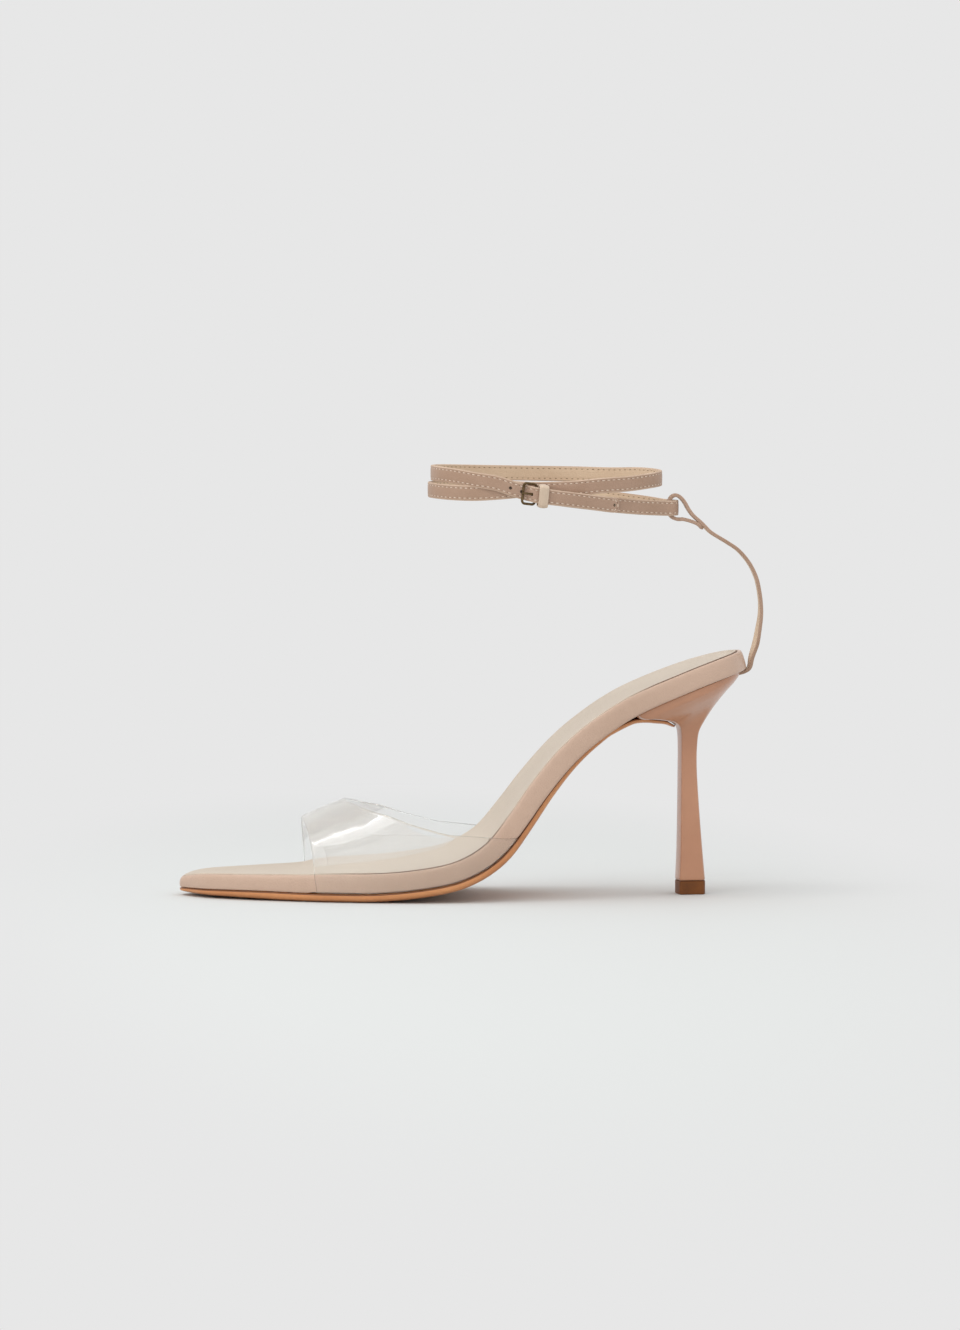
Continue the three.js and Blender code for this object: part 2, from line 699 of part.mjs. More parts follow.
function outsoleGeometry() {
  const rows = [];
  for (const row of footbedRows) {
    const along = (row.along * soleLength) / outsoleLength;
    if (along > 0.97) break;
    const keep = readTable(keptWidth, "along", "keep", along);
    rows.push({ ...row, along, outer: row.outer * keep, inner: row.inner * keep });
  }
  const end = keptWidth[keptWidth.length - 2];
  rows.push({ along: 0.985, width: waistWidth, outer: 0.5 * end.keep, inner: 0.5 * end.keep });
  const sides = outline(rows, outsoleLength, toeSwing, 48);
  const flatFrom = 0.17 * outsoleLength;
  const flatTo = 0.5 * outsoleLength;
  const substance = (along) => {
    if (along > flatFrom && along < flatTo) return outsoleThickness;
    const share = THREE.MathUtils.clamp(along / outsoleLength, 0.0001, 0.9999);
    return outsoleThickness * readTable(outsoleSubstance, "along", "share", share);
  };
  const rings = [
    { inward: 0.9, height: (along) => -substance(along) },
    { inward: 0.1, height: (along) => -0.72 * substance(along) },
    { inward: 0, height: 0 },
  ];
  return ground(slab(outsoleFrame, sides, rings, hollow, 2));
}

// The tread lies flat on the floor wherever it comes this close to it.
const treadFlat = 0.12;

function ground(geometry) {
  const position = geometry.attributes.position;
  for (let i = 0; i < position.count; i++) {
    if (position.getZ(i) < treadFlat) position.setZ(i, 0);
  }
  return geometry;
}

// Straps

// Sections across a strap: a flat band with eased corners.
function bandRing(centre, wide, thick, width, thickness) {
  const ease = Math.min(0.3 * thickness, 0.3 * width);
  const w = width / 2;
  const t = thickness / 2;
  const corners = [
    [w, t - ease],
    [w - ease, t],
    [ease - w, t],
    [-w, t - ease],
    [-w, ease - t],
    [ease - w, -t],
    [w - ease, -t],
    [w, ease - t],
  ];
  return corners.map(([a, b]) => centre.clone().addScaledVector(wide, a).addScaledVector(thick, b));
}

// A band swept along stations of { point, tangent, wide }, with its own width and thickness at each.
function band(stations) {
  return loft(
    stations.map(({ point, tangent, wide, width, thickness }) => {
      const across = wide.clone().addScaledVector(tangent, -wide.dot(tangent)).normalize();
      const thick = vector(0, 0, 0).crossVectors(tangent, across);
      return bandRing(point, across, thick, width, thickness);
    }),
  );
}

// The ankle strap's course, from the buckle round the ankle twice to its free end. Along and across are
// shares of ankleLength and ankleWidth from the ankle's middle, drop is a share of wrapDrop below
// ankleHeight, and layer counts the strap thicknesses that lie beneath.
const ankleCourse = [
  { part: "buckled", along: -0.092, across: -0.498, drop: 0.569, layer: 1.25 },
  { part: "buckled", along: -0.045, across: -0.495, drop: 0.618, layer: 1.42 },
  { part: "buckled", along: 0.04, across: -0.48, drop: 0.707, layer: 1.25 },
  { part: "buckled", along: 0.15, across: -0.41, drop: 0.801, layer: 1 },
  { part: "buckled", along: 0.27, across: -0.3, drop: 0.896, layer: 1 },
  { part: "buckled", along: 0.39, across: -0.19, drop: 0.967, layer: 0.7 },
  { part: "buckled", along: 0.47, across: -0.128, drop: 0.996, layer: 0.3 },
  { part: "buckled", along: 0.515, across: -0.096, drop: 1.008, layer: 0 },
  { part: "buckled", along: 0.548, across: -0.072, drop: 1.006, layer: 0 },
  { part: "buckled", along: 0.564, across: 0, drop: 1, layer: 0 },
  { part: "buckled", along: 0.548, across: 0.072, drop: 0.994, layer: 0 },
  { part: "buckled", along: 0.515, across: 0.096, drop: 0.977, layer: 0 },
  { part: "buckled", along: 0.455, across: 0.15, drop: 0.917, layer: 0 },
  { part: "buckled", along: 0.34, across: 0.265, drop: 0.822, layer: 0 },
  { part: "buckled", along: 0.2, across: 0.39, drop: 0.706, layer: 0 },
  { part: "buckled", along: 0.04, across: 0.47, drop: 0.589, layer: 0 },
  { part: "buckled", along: -0.14, across: 0.48, drop: 0.513, layer: 0 },
  { part: "lower", along: -0.3, across: 0.41, drop: 0.479, layer: 0 },
  { part: "lower", along: -0.42, across: 0.27, drop: 0.476, layer: 0 },
  { part: "lower", along: -0.487, across: 0.11, drop: 0.483, layer: 0 },
  { part: "lower", along: -0.502, across: -0.05, drop: 0.497, layer: 0 },
  { part: "lower", along: -0.48, across: -0.2, drop: 0.518, layer: 0 },
  { part: "lower", along: -0.415, across: -0.34, drop: 0.55, layer: 0 },
  { part: "lower", along: -0.32, across: -0.44, drop: 0.562, layer: 0 },
  { part: "lower", along: -0.21, across: -0.49, drop: 0.52, layer: 0 },
  { part: "lower", along: -0.11, across: -0.499, drop: 0.465, layer: 0 },
  { part: "lower", along: -0.02, across: -0.49, drop: 0.463, layer: -0.5 },
  { part: "lower", along: 0.1, across: -0.457, drop: 0.435, layer: 0.15 },
  { part: "lower", along: 0.22, across: -0.42, drop: 0.367, layer: 0 },
  { part: "lower", along: 0.34, across: -0.33, drop: 0.324, layer: 0 },
  { part: "lower", along: 0.44, across: -0.195, drop: 0.252, layer: 0 },
  { part: "lower", along: 0.49, across: -0.04, drop: 0.204, layer: 0 },
  { part: "lower", along: 0.485, across: 0.12, drop: 0.169, layer: 0 },
  { part: "lower", along: 0.42, across: 0.29, drop: 0.135, layer: 0 },
  { part: "upper", along: 0.3, across: 0.405, drop: 0.144, layer: 0 },
  { part: "upper", along: 0.15, across: 0.48, drop: 0.123, layer: 0 },
  { part: "upper", along: -0.03, across: 0.51, drop: 0.105, layer: 0 },
  { part: "upper", along: -0.2, across: 0.475, drop: 0.083, layer: 0 },
  { part: "upper", along: -0.345, across: 0.37, drop: 0.058, layer: 0 },
  { part: "upper", along: -0.447, across: 0.21, drop: 0.037, layer: 0 },
  { part: "upper", along: -0.488, across: 0.03, drop: 0.042, layer: 0 },
  { part: "upper", along: -0.472, across: -0.16, drop: 0.059, layer: 0 },
  { part: "upper", along: -0.4, across: -0.32, drop: 0.113, layer: 0.3 },
  { part: "upper", along: -0.31, across: -0.42, drop: 0.207, layer: 1 },
  { part: "upper", along: -0.23, across: -0.475, drop: 0.292, layer: 1.05 },
  { part: "upper", along: -0.175, across: -0.493, drop: 0.41, layer: 1 },
  { part: "upper", along: -0.13, across: -0.497, drop: 0.503, layer: 1 },
  { part: "upper", along: -0.106, across: -0.498, drop: 0.545, layer: 1.22 },
  { part: "upper", along: -0.09, across: -0.498, drop: 0.57, layer: 1.98 },
  { part: "upper", along: -0.076, across: -0.498, drop: 0.596, layer: 2.48 },
  { part: "upper", along: -0.05, across: -0.496, drop: 0.627, layer: 2.58 },
  { part: "upper", along: -0.01, across: -0.49, drop: 0.668, layer: 2.5 },
  { part: "upper", along: 0.07, across: -0.46, drop: 0.73, layer: 2.25 },
  { part: "upper", along: 0.17, across: -0.395, drop: 0.82, layer: 2.1 },
  { part: "upper", along: 0.245, across: -0.328, drop: 0.887, layer: 2.1 },
  { part: "upper", along: 0.28, across: -0.292, drop: 0.914, layer: 2.1 },
];
const ankleMiddle = 0.6445 * soleReach;
const layerPitch = strapThickness + gap;

function anklePlan({ along, across, drop }) {
  return vector(ankleMiddle + along * ankleLength, across * ankleWidth, ankleHeight - drop * wrapDrop);
}

const ankleCurve = (() => {
  const plan = ankleCourse.map(anklePlan);
  const points = plan.map((point, i) => {
    const before = plan[Math.max(i - 1, 0)];
    const after = plan[Math.min(i + 1, plan.length - 1)];
    const run = vector(after.x - before.x, after.y - before.y, 0).normalize();
    const outward = vector(run.y, -run.x, 0);
    return point.clone().addScaledVector(outward, ankleCourse[i].layer * layerPitch);
  });
  return new THREE.CatmullRomCurve3(points, false, "centripetal");
})();

// Stations of the ankle strap at places of its course, counted in rows.
function ankleStations(places) {
  const rows = ankleCourse.length - 1;
  return places.map((place) => ({
    point: ankleCurve.getPoint(place / rows),
    tangent: ankleCurve.getTangent(place / rows),
    wide: vector(0, 0, 1),
    width: strapWidth,
    thickness: strapThickness,
  }));
}

// Places from one row to another, with so many steps a row.
function evenPlaces(first, last, steps) {
  const count = Math.round((last - first) * steps);
  return Array.from({ length: count + 1 }, (_, k) => first + (k * (last - first)) / count);
}

// The place where the strap passes a share of the ankle's length, searched from its buckled or its free end.
function placeAt(along, fromFreeEnd) {
  const starts = ankleCourse.slice(0, -1).map((row, i) => i);
  if (fromFreeEnd) starts.reverse();
  const i = starts.find((k) => ankleCourse[k].along <= along && along <= ankleCourse[k + 1].along);
  return i + (along - ankleCourse[i].along) / (ankleCourse[i + 1].along - ankleCourse[i].along);
}

const barAlong = -0.0685; // the buckle's rear bar, from the ankle's middle, as a share of its length
const frontBarAlong = barAlong - buckleLength / ankleLength;
const keeperAlong = barAlong + (keeperBehindBar + keeperLength / 2) / ankleLength;
const barPlace = placeAt(barAlong, false);
const frontBarPlace = placeAt(frontBarAlong, true);
const keeperPlace = placeAt(keeperAlong, false);
const keeperTopPlace = placeAt(keeperAlong, true);

// Thickness of the buckled end: a round nose, the fold, and the single strap.
function foldedThickness(distance) {
  const nose = foldThickness / 2;
  if (distance < nose) return 2 * Math.sqrt(Math.max(nose ** 2 - (nose - distance) ** 2, 0.02));
  const single = THREE.MathUtils.smoothstep(distance, foldLength, foldLength + 0.8);
  return THREE.MathUtils.lerp(foldThickness, strapThickness, single);
}

function ankleStrapSolid() {
  const rowsOf = (part) => ankleCourse.map((row, i) => (row.part === part ? i : -1)).filter((i) => i >= 0);
  const lowerStart = rowsOf("lower")[0];
  const upperStart = rowsOf("upper")[0];
  const end = ankleCourse.length - 1;
  const steps = 2;
  const nose = [0, 0.03, 0.09, 0.18, 0.29, 0.42, 0.56, 0.7, 0.83];
  const buckled = ankleStations([...nose, ...evenPlaces(1, lowerStart, steps)]);
  for (const station of buckled.slice(0, nose.length)) {
    station.thickness = foldedThickness(station.point.distanceTo(buckled[0].point));
  }
  const tip = [0.75, 0.6, 0.4, 0.2, 0.07, 0].map((back) => end - back);
  const free = ankleStations([...evenPlaces(upperStart, end - 1, steps), ...tip]);
  for (const station of free) {
    const left = station.point.distanceTo(free[free.length - 1].point);
    const share = Math.min(1, (left + 0.12) / (strapWidth / 2));
    station.width = strapWidth * Math.sqrt(1 - (1 - share) ** 2);
  }
  const middle = ankleStations(evenPlaces(lowerStart, upperStart, steps));
  const strap = [buckled, middle, free].map((stations) => toSolid(band(stations))).reduce((a, b) => a.add(b));
  const bore = new THREE.CylinderGeometry(buckleWire / 2 + gap, buckleWire / 2 + gap, 3 * strapWidth, 12);
  bore.applyMatrix4(buckleMatrix("bar"));
  const prongSpace = prongSolid(gap).transform(buckleMatrix("frame").elements);
  return strap.subtract(toSolid(bore)).subtract(prongSpace);
}

// The buckle's own axes: x from the front bar to the rear bar, y up the strap's width, z outwards.
function buckleMatrix(origin) {
  const rows = ankleCourse.length - 1;
  const bar = ankleCurve.getPoint(barPlace / rows);
  const under = ankleCurve.getPoint(frontBarPlace / rows);
  const tangent = ankleCurve.getTangent(frontBarPlace / rows);
  const outward = vector(tangent.y, -tangent.x, 0).normalize();
  const clear = strapThickness / 2 + 2 * gap + buckleWire / 2;
  const front = under.clone().addScaledVector(outward, clear);
  const x = vector(0, 0, 0).subVectors(bar, front).normalize();
  const y = vector(0, 0, 1).addScaledVector(x, -x.z).normalize();
  const z = vector(0, 0, 0).crossVectors(x, y);
  x.applyAxisAngle(z, THREE.MathUtils.degToRad(buckleTurn));
  y.applyAxisAngle(z, THREE.MathUtils.degToRad(buckleTurn));
  const place = origin === "bar" ? bar : bar.clone().addScaledVector(x, -buckleLength / 2);
  return new THREE.Matrix4().makeBasis(x, y, z).setPosition(place);
}

function roundedRectangle(shape, halfX, halfY, radius) {
  shape.moveTo(halfX - radius, -halfY);
  shape.absarc(halfX - radius, -halfY + radius, radius, -Math.PI / 2, 0, false);
  shape.absarc(halfX - radius, halfY - radius, radius, 0, Math.PI / 2, false);
  shape.absarc(-halfX + radius, halfY - radius, radius, Math.PI / 2, Math.PI, false);
  shape.absarc(-halfX + radius, -halfY + radius, radius, Math.PI, (3 * Math.PI) / 2, false);
  shape.closePath();
  return shape;
}

function buckleFrameGeometry() {
  const halfX = buckleLength / 2;
  const halfY = strapWidth / 2 + strapPlay + buckleWire / 2;
  const radius = buckleCorner;
  const corners = [];
  const arcSteps = 4;
  const centres = [
    [halfX - radius, halfY - radius, 0],
    [radius - halfX, halfY - radius, 1],
    [radius - halfX, radius - halfY, 2],
    [halfX - radius, radius - halfY, 3],
  ];
  for (const [cx, cy, turn] of centres) {
    for (let k = 0; k <= arcSteps; k++) {
      const angle = ((turn + k / arcSteps) * Math.PI) / 2;
      corners.push(vector(cx + radius * Math.cos(angle), cy + radius * Math.sin(angle), 0));
    }
  }
  const sides = 8;
  const rings = corners.map((corner, i) => {
    const before = corners[(i + corners.length - 1) % corners.length];
    const after = corners[(i + 1) % corners.length];
    const run = vector(0, 0, 0).subVectors(after, before).normalize();
    const out = vector(run.y, -run.x, 0);
    return Array.from({ length: sides }, (_, s) => {
      const angle = (2 * Math.PI * (s + 0.5)) / sides;
      const reach = buckleWire / 2 / Math.cos(Math.PI / sides);
      const point = corner.clone().addScaledVector(out, reach * Math.cos(angle));
      return point.setZ(reach * Math.sin(angle));
    });
  });
  const points = rings.flat();
  const triangles = [];
  for (let r = 0; r < rings.length; r++) {
    const next = (r + 1) % rings.length;
    for (let s = 0; s < sides; s++) {
      const t = (s + 1) % sides;
      quad(triangles, r * sides + s, r * sides + t, next * sides + t, next * sides + s);
    }
  }
  return closedGeometry(points, triangles);
}

// The buckle's prong: a ring round the rear bar and an arm over the front bar. Spare makes it larger all
// round, for the slot and the hole that it needs in the strap.
const prongWidth = 1;
const prongOver = 0.8; // how far its tip reaches past the front bar
const prongRingClearance = 0.2;
const prongRingWall = 0.4;

function prongSolid(spare = 0) {
  const rear = buckleLength / 2;
  const ringRadius = buckleWire / 2 + prongRingClearance + prongRingWall;
  const disc = new THREE.Shape();
  disc.absarc(0, 0, ringRadius + spare, 0, 2 * Math.PI, false);
  if (spare === 0) {
    const eye = new THREE.Path();
    eye.absarc(0, 0, buckleWire / 2 + prongRingClearance, 0, 2 * Math.PI, false);
    disc.holes.push(eye);
  }
  const depth = prongWidth + 2 * spare;
  const ring = new THREE.ExtrudeGeometry(disc, { depth, bevelEnabled: false, curveSegments: 8 });
  ring.translate(0, 0, -depth / 2);
  ring.rotateX(Math.PI / 2);
  ring.translate(rear, 0, 0);
  const over = buckleWire / 2 + gap + prongWidth / 2;
  const course = [
    vector(rear - 0.2, 0, ringRadius - prongRingWall / 2),
    vector(rear * 0.45, 0, over),
    vector(-rear * 0.3, 0, over * 1.15),
    vector(-rear, 0, over),
    vector(-rear - prongOver - spare, 0, over * 0.9),
  ];
  const curve = new THREE.CatmullRomCurve3(course);
  const count = 8;
  const stations = [];
  for (let k = 0; k <= count; k++) {
    const taper = 1 - 0.35 * (k / count);
    stations.push({
      point: curve.getPoint(k / count),
      tangent: curve.getTangent(k / count),
      wide: vector(0, 1, 0),
      width: prongWidth * taper + 2 * spare,
      thickness: (k === 0 ? prongRingWall : 0.8 * prongWidth * taper) + 2 * spare,
    });
  }
  return toSolid(ring).add(toSolid(band(stations)));
}

function keeperMatrix() {
  const rows = ankleCourse.length - 1;
  const under = ankleCurve.getPoint(keeperPlace / rows);
  const over = ankleCurve.getPoint(keeperTopPlace / rows);
  const x = ankleCurve.getTangent(keeperPlace / rows);
  const z = vector(0, 0, 0).subVectors(over, under);
  z.addScaledVector(x, -z.dot(x)).normalize();
  x.applyAxisAngle(z, THREE.MathUtils.degToRad(buckleTurn));
  const y = vector(0, 0, 0).crossVectors(z, x);
  const middle = vector(0, 0, 0).lerpVectors(under, over, 0.5);
  return new THREE.Matrix4().makeBasis(x, y, z).setPosition(middle);
}

function keeperGeometry() {
  const rows = ankleCourse.length - 1;
  const under = ankleCurve.getPoint(keeperPlace / rows);
  const over = ankleCurve.getPoint(keeperTopPlace / rows);
  const halfDeep = under.distanceTo(over) / 2 + strapThickness / 2 + 1.9 * gap;
  const halfTall = strapWidth / 2 + strapPlay;
  const outer = roundedRectangle(new THREE.Shape(), halfTall + keeperThickness, halfDeep + keeperThickness, 1);
  outer.holes.push(roundedRectangle(new THREE.Path(), halfTall, halfDeep, 0.4));
  const ring = new THREE.ExtrudeGeometry(outer, { depth: keeperLength, bevelEnabled: false, curveSegments: 3 });
  ring.translate(0, 0, -keeperLength / 2);
  ring.applyMatrix4(new THREE.Matrix4().makeBasis(vector(0, 1, 0), vector(0, 0, 1), vector(1, 0, 0)));
  return ring;
}

// The heel strap, in side view: tucked under the footbed, up behind the heel, round the ankle strap's rear
// turn and back down its own inside, where it is stitched. Up is a share of the way from the seat's back to
// that turn, bow is a share of heelStrapBow, and twist is in degrees.
const heelStrapRise = [
  { up: 0.066, bow: 0.19, twist: 8 },
  { up: 0.154, bow: 0.405, twist: 14 },
  { up: 0.240, bow: 0.58, twist: 10 },
  { up: 0.327, bow: 0.745, twist: 5 },
  { up: 0.407, bow: 0.86, twist: 1 },
  { up: 0.485, bow: 0.94, twist: 0 },
  { up: 0.558, bow: 0.99, twist: 0 },
  { up: 0.628, bow: 0.99, twist: 0 },
  { up: 0.683, bow: 0.95, twist: 0 },
  { up: 0.739, bow: 0.86, twist: 0 },
  { up: 0.781, bow: 0.72, twist: 0 },
];

// The loop, from the ankle strap's rear turn. Shares of strapWidth.
const loopRows = [
  { back: 2.2, up: -1.6 },
  { back: 1.87, up: -1.27, stitched: true },
  { back: 1.53, up: -0.93, stitched: true },
  { back: 1.05, up: -0.5 },
  { back: 0.74, up: -0.08 },
  { back: 0.53, up: 0.3 },
  { back: 0.33, up: 0.57 },
  { back: 0.12, up: 0.75 },
  { back: -0.1, up: 0.82 },
  { back: -0.31, up: 0.75 },
  { back: -0.48, up: 0.54 },
  { back: -0.55, up: 0.2 },
  { back: -0.53, up: -0.18 },
  { back: -0.4, up: -0.56 },
  { back: 0, up: -0.76 },
  { back: 0.46, up: -0.78 },
];
const tuckDepth = gap + heelStrapThickness / 2;
const overlapRows = 6; // rows at the end of the course that lie back on the strap

const heelStrapCourse = (() => {
  const seatBack = vector(soleReach, 0, seatHeight);
  const turnRow = ankleCourse.reduce((best, row) => (row.along > best.along && row.drop > 0.9 ? row : best));
  const turn = anklePlan(turnRow).setY(0);
  const course = [tuckLength, 0.55 * tuckLength, 1].map((left) => ({
    point: footbedFrame.place(soleLength - left, 0, -tuckDepth),
    twist: 0,
  }));
  course.push({ point: footbedFrame.place(soleLength + 1, 0, -0.1 * tuckDepth), twist: 2 });
  for (const { up, bow, twist } of heelStrapRise) {
    const point = vector(0, 0, 0).lerpVectors(seatBack, turn, up);
    point.x += bow * heelStrapBow;
    course.push({ point, twist });
  }
  const loopStart = course.length;
  for (const { back, up } of loopRows) {
    const point = vector(back * strapWidth, 0, up * strapWidth).add(turn);
    course.push({ point, twist: 0 });
  }
  const single = new THREE.CatmullRomCurve3(course.map((row) => row.point), false, "centripetal");
  const loopEnd = course.length - 1;
  const stitched = [];
  loopRows.forEach(({ stitched: doubled }, i) => {
    if (!doubled) return;
    const tangent = single.getTangent((loopStart + i) / loopEnd);
    const inward = vector(-tangent.z, 0, tangent.x);
    const point = course[loopStart + i].point.clone().addScaledVector(inward, 0.96 * heelStrapThickness);
    stitched.unshift({ point, twist: 0 });
  });
  return [...course, ...stitched];
})();

function heelStrapSolid() {
  const rows = heelStrapCourse.length - 1;
  const curve = new THREE.CatmullRomCurve3(heelStrapCourse.map((row) => row.point), false, "centripetal");
  const half = heelStrapCourse.length - overlapRows;
  const stretch = (first, last) => {
    const stations = [];
    const steps = 2;
    for (let k = first * steps; k <= last * steps; k++) {
      const row = k / steps;
      const before = heelStrapCourse[Math.floor(row)].twist;
      const after = heelStrapCourse[Math.ceil(row)].twist;
      const twist = THREE.MathUtils.degToRad((before + after) / 2);
      const tangent = curve.getTangent(row / rows);
      stations.push({
        point: curve.getPoint(row / rows),
        tangent,
        wide: vector(0, 1, 0).applyAxisAngle(tangent, twist),
        width: heelStrapWidth,
        thickness: heelStrapThickness,
      });
    }
    return stations;
  };
  return toSolid(band(stretch(0, half))).add(toSolid(band(stretch(half, rows))));
}

// The slot that the heel strap needs in the heel's seat.
function heelStrapPocket() {
  const halfWide = heelStrapWidth / 2 + gap;
  const deep = tuckDepth + heelStrapThickness / 2 + gap;
  const rings = [];
  const steps = 8;
  const start = soleLength - tuckLength - gap;
  const end = soleLength + footbedThickness;
  for (let k = 0; k <= steps; k++) {
    const along = THREE.MathUtils.lerp(start, end, k / steps);
    const corners = [
      [-halfWide, -deep],
      [halfWide, -deep],
      [halfWide, footbedThickness / 2],
      [-halfWide, footbedThickness / 2],
    ];
    rings.push(corners.map(([across, height]) => footbedFrame.place(along, across, height)));
  }
  return toSolid(loft(rings));
}

// The part

const sandal = new THREE.Group();

function addPiece(name, geometry, color, roughness, metalness, opacity) {
  const clear = opacity < 1;
  const material = new THREE.MeshStandardMaterial({ color, roughness, metalness, opacity, transparent: clear });
  const mesh = new THREE.Mesh(geometry, material);
  mesh.name = name;
  sandal.add(mesh);
  return mesh;
}

const tuckSpaces = tuckSpace("outer", -1).add(tuckSpace("inner", 1));
addPiece("outsole", outsoleGeometry(), colour.sole, 0.6, 0, 1);
addPiece("footbed", toGeometry(footbedSolid().subtract(tuckSpaces)), colour.leather, 0.5, 0, 1);
addPiece("insole", insoleGeometry(), colour.lining, 0.6, 0, 1);
addPiece("upper", vampGeometry(), colour.clear, 0.05, 0, 0.35);
addPiece("heel", toGeometry(heelSolid()), colour.heel, 0.25, 0, 1);
addPiece("heel_tip", heelTipGeometry(), colour.tip, 0.6, 0, 1);
addPiece("heel_strap", toGeometry(heelStrapSolid()), colour.leather, 0.5, 0, 1);
addPiece("ankle_strap", toGeometry(ankleStrapSolid()), colour.leather, 0.5, 0, 1);
addPiece("strap_keeper", keeperGeometry(), colour.leather, 0.5, 0, 1).applyMatrix4(keeperMatrix());
addPiece("buckle_frame", buckleFrameGeometry(), colour.metal, 0.35, 1, 1).applyMatrix4(buckleMatrix("frame"));
addPiece("buckle_prong", toGeometry(prongSolid()), colour.metal, 0.35, 1, 1).applyMatrix4(buckleMatrix("frame"));

// The origin is the middle of the part's box, on the floor.
sandal.updateMatrixWorld(true);
const box = new THREE.Box3().setFromObject(sandal, true);
sandal.position.set(-(box.min.x + box.max.x) / 2, -(box.min.y + box.max.y) / 2, -box.min.z);

export default sandal;
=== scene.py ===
# A left sandal: pointed footbed, clear vamp, stem heel and a thin strap wrapped twice round the ankle.
import math

import bpy
import numpy as np
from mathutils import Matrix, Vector


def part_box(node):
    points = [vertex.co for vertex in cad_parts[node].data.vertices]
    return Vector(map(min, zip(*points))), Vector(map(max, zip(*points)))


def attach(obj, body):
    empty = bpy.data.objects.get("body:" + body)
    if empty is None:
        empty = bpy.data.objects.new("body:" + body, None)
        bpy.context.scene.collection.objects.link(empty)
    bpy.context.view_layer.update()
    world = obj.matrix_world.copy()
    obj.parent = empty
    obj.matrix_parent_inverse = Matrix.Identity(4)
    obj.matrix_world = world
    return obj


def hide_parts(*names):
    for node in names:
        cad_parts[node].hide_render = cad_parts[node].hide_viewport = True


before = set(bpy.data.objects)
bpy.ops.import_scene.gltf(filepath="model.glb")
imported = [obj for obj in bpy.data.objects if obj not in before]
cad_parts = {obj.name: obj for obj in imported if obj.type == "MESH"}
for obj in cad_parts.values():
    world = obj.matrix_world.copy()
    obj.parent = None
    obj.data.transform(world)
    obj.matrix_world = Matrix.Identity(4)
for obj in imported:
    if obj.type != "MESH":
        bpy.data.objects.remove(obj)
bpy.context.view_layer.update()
bpy.context.scene.view_settings.view_transform = "Standard"


# How finely lines and tables are read
lineSamples = 4001
tableSamples = 1500


# Distances along a row of points, from its first point
def runLength(points):
    return np.concatenate([[0], np.cumsum(np.linalg.norm(np.diff(points, axis=0), axis=1))])


# A smooth line through points, read by share of its spans or by distance
class SmoothLine:
    def __init__(self, points, closed=False):
        self.points = np.array(points, float)
        self.closed = closed
        self.spans = len(points) if closed else len(points) - 1
        self.shares = np.linspace(0, 1, lineSamples)
        self.lengths = runLength(self.at(self.shares))
        self.length = self.lengths[-1]

    def at(self, shares):
        shares = np.clip(np.atleast_1d(np.asarray(shares, float)), 0, 1)
        p, n = self.points, len(self.points)
        place = shares * self.spans
        first = np.minimum(np.floor(place).astype(int), self.spans - 1)
        weight = (place - first)[:, None]
        if self.closed:
            p0, p1, p2, p3 = (p[(first + k) % n] for k in (-1, 0, 1, 2))
        else:
            p = np.vstack([2 * p[0] - p[1], p, 2 * p[-1] - p[-2]])
            p0, p1, p2, p3 = (p[first + k] for k in (0, 1, 2, 3))
        pairs = ((p0, p1), (p1, p2), (p2, p3))
        d0, d1, d2 = (np.sum((b - a) ** 2, axis=1, keepdims=True) ** 0.25 for a, b in pairs)
        d1 = np.where(d1 < 1e-4, 1.0, d1)
        d0 = np.where(d0 < 1e-4, d1, d0)
        d2 = np.where(d2 < 1e-4, d1, d2)
        t1 = ((p1 - p0) / d0 - (p2 - p0) / (d0 + d1) + (p2 - p1) / d1) * d1
        t2 = ((p2 - p1) / d1 - (p3 - p1) / (d1 + d2) + (p3 - p2) / d2) * d1
        bend = -3 * p1 + 3 * p2 - 2 * t1 - t2
        twist = 2 * p1 - 2 * p2 + t1 + t2
        return p1 + weight * (t1 + weight * (bend + weight * twist))

    def direction(self, shares):
        shares = np.atleast_1d(np.asarray(shares, float))
        run = self.at(np.minimum(shares + 1e-4, 1)) - self.at(np.maximum(shares - 1e-4, 0))
        return run / np.linalg.norm(run, axis=1, keepdims=True)

    def shareAt(self, distance):
        return np.interp(distance, self.lengths, self.shares)


# A column of a table read at places of its first column
def readTable(rows, column, at):
    spots = SmoothLine([(row[0], row[column]) for row in rows]).at(np.linspace(0, 1, tableSamples))
    return np.interp(at, spots[:, 0], spots[:, 1])


def smoothStep(value, low, high):
    share = np.clip((np.asarray(value, float) - low) / (high - low), 0, 1)
    return share * share * (3 - 2 * share)


def unit(vectors):
    return vectors / np.linalg.norm(vectors, axis=-1, keepdims=True)


# Faces of a grid of points, rows by columns, optionally closed round
def gridFaces(rows, columns, roundRows=False, roundColumns=False, start=0):
    faces = []
    for r in range(rows if roundRows else rows - 1):
        for c in range(columns if roundColumns else columns - 1):
            a, b = r, (r + 1) % rows
            d, e = c, (c + 1) % columns
            corners = (a * columns + d, a * columns + e, b * columns + e, b * columns + d)
            faces.append(tuple(start + corner for corner in corners))
    return faces


# A solid of rings, closed by a fan round the middle of each end
def closedRings(grid, middles=None):
    grid = np.asarray(grid, float)
    rows, count = grid.shape[:2]
    if middles is None:
        middles = [grid[0].mean(axis=0), grid[-1].mean(axis=0)]
    faces = gridFaces(rows, count, roundColumns=True)
    for ring, middle in ((0, rows * count), (rows - 1, rows * count + 1)):
        faces += [(middle, ring * count + c, ring * count + (c + 1) % count) for c in range(count)]
    return np.vstack([grid.reshape(-1, 3), middles]), faces


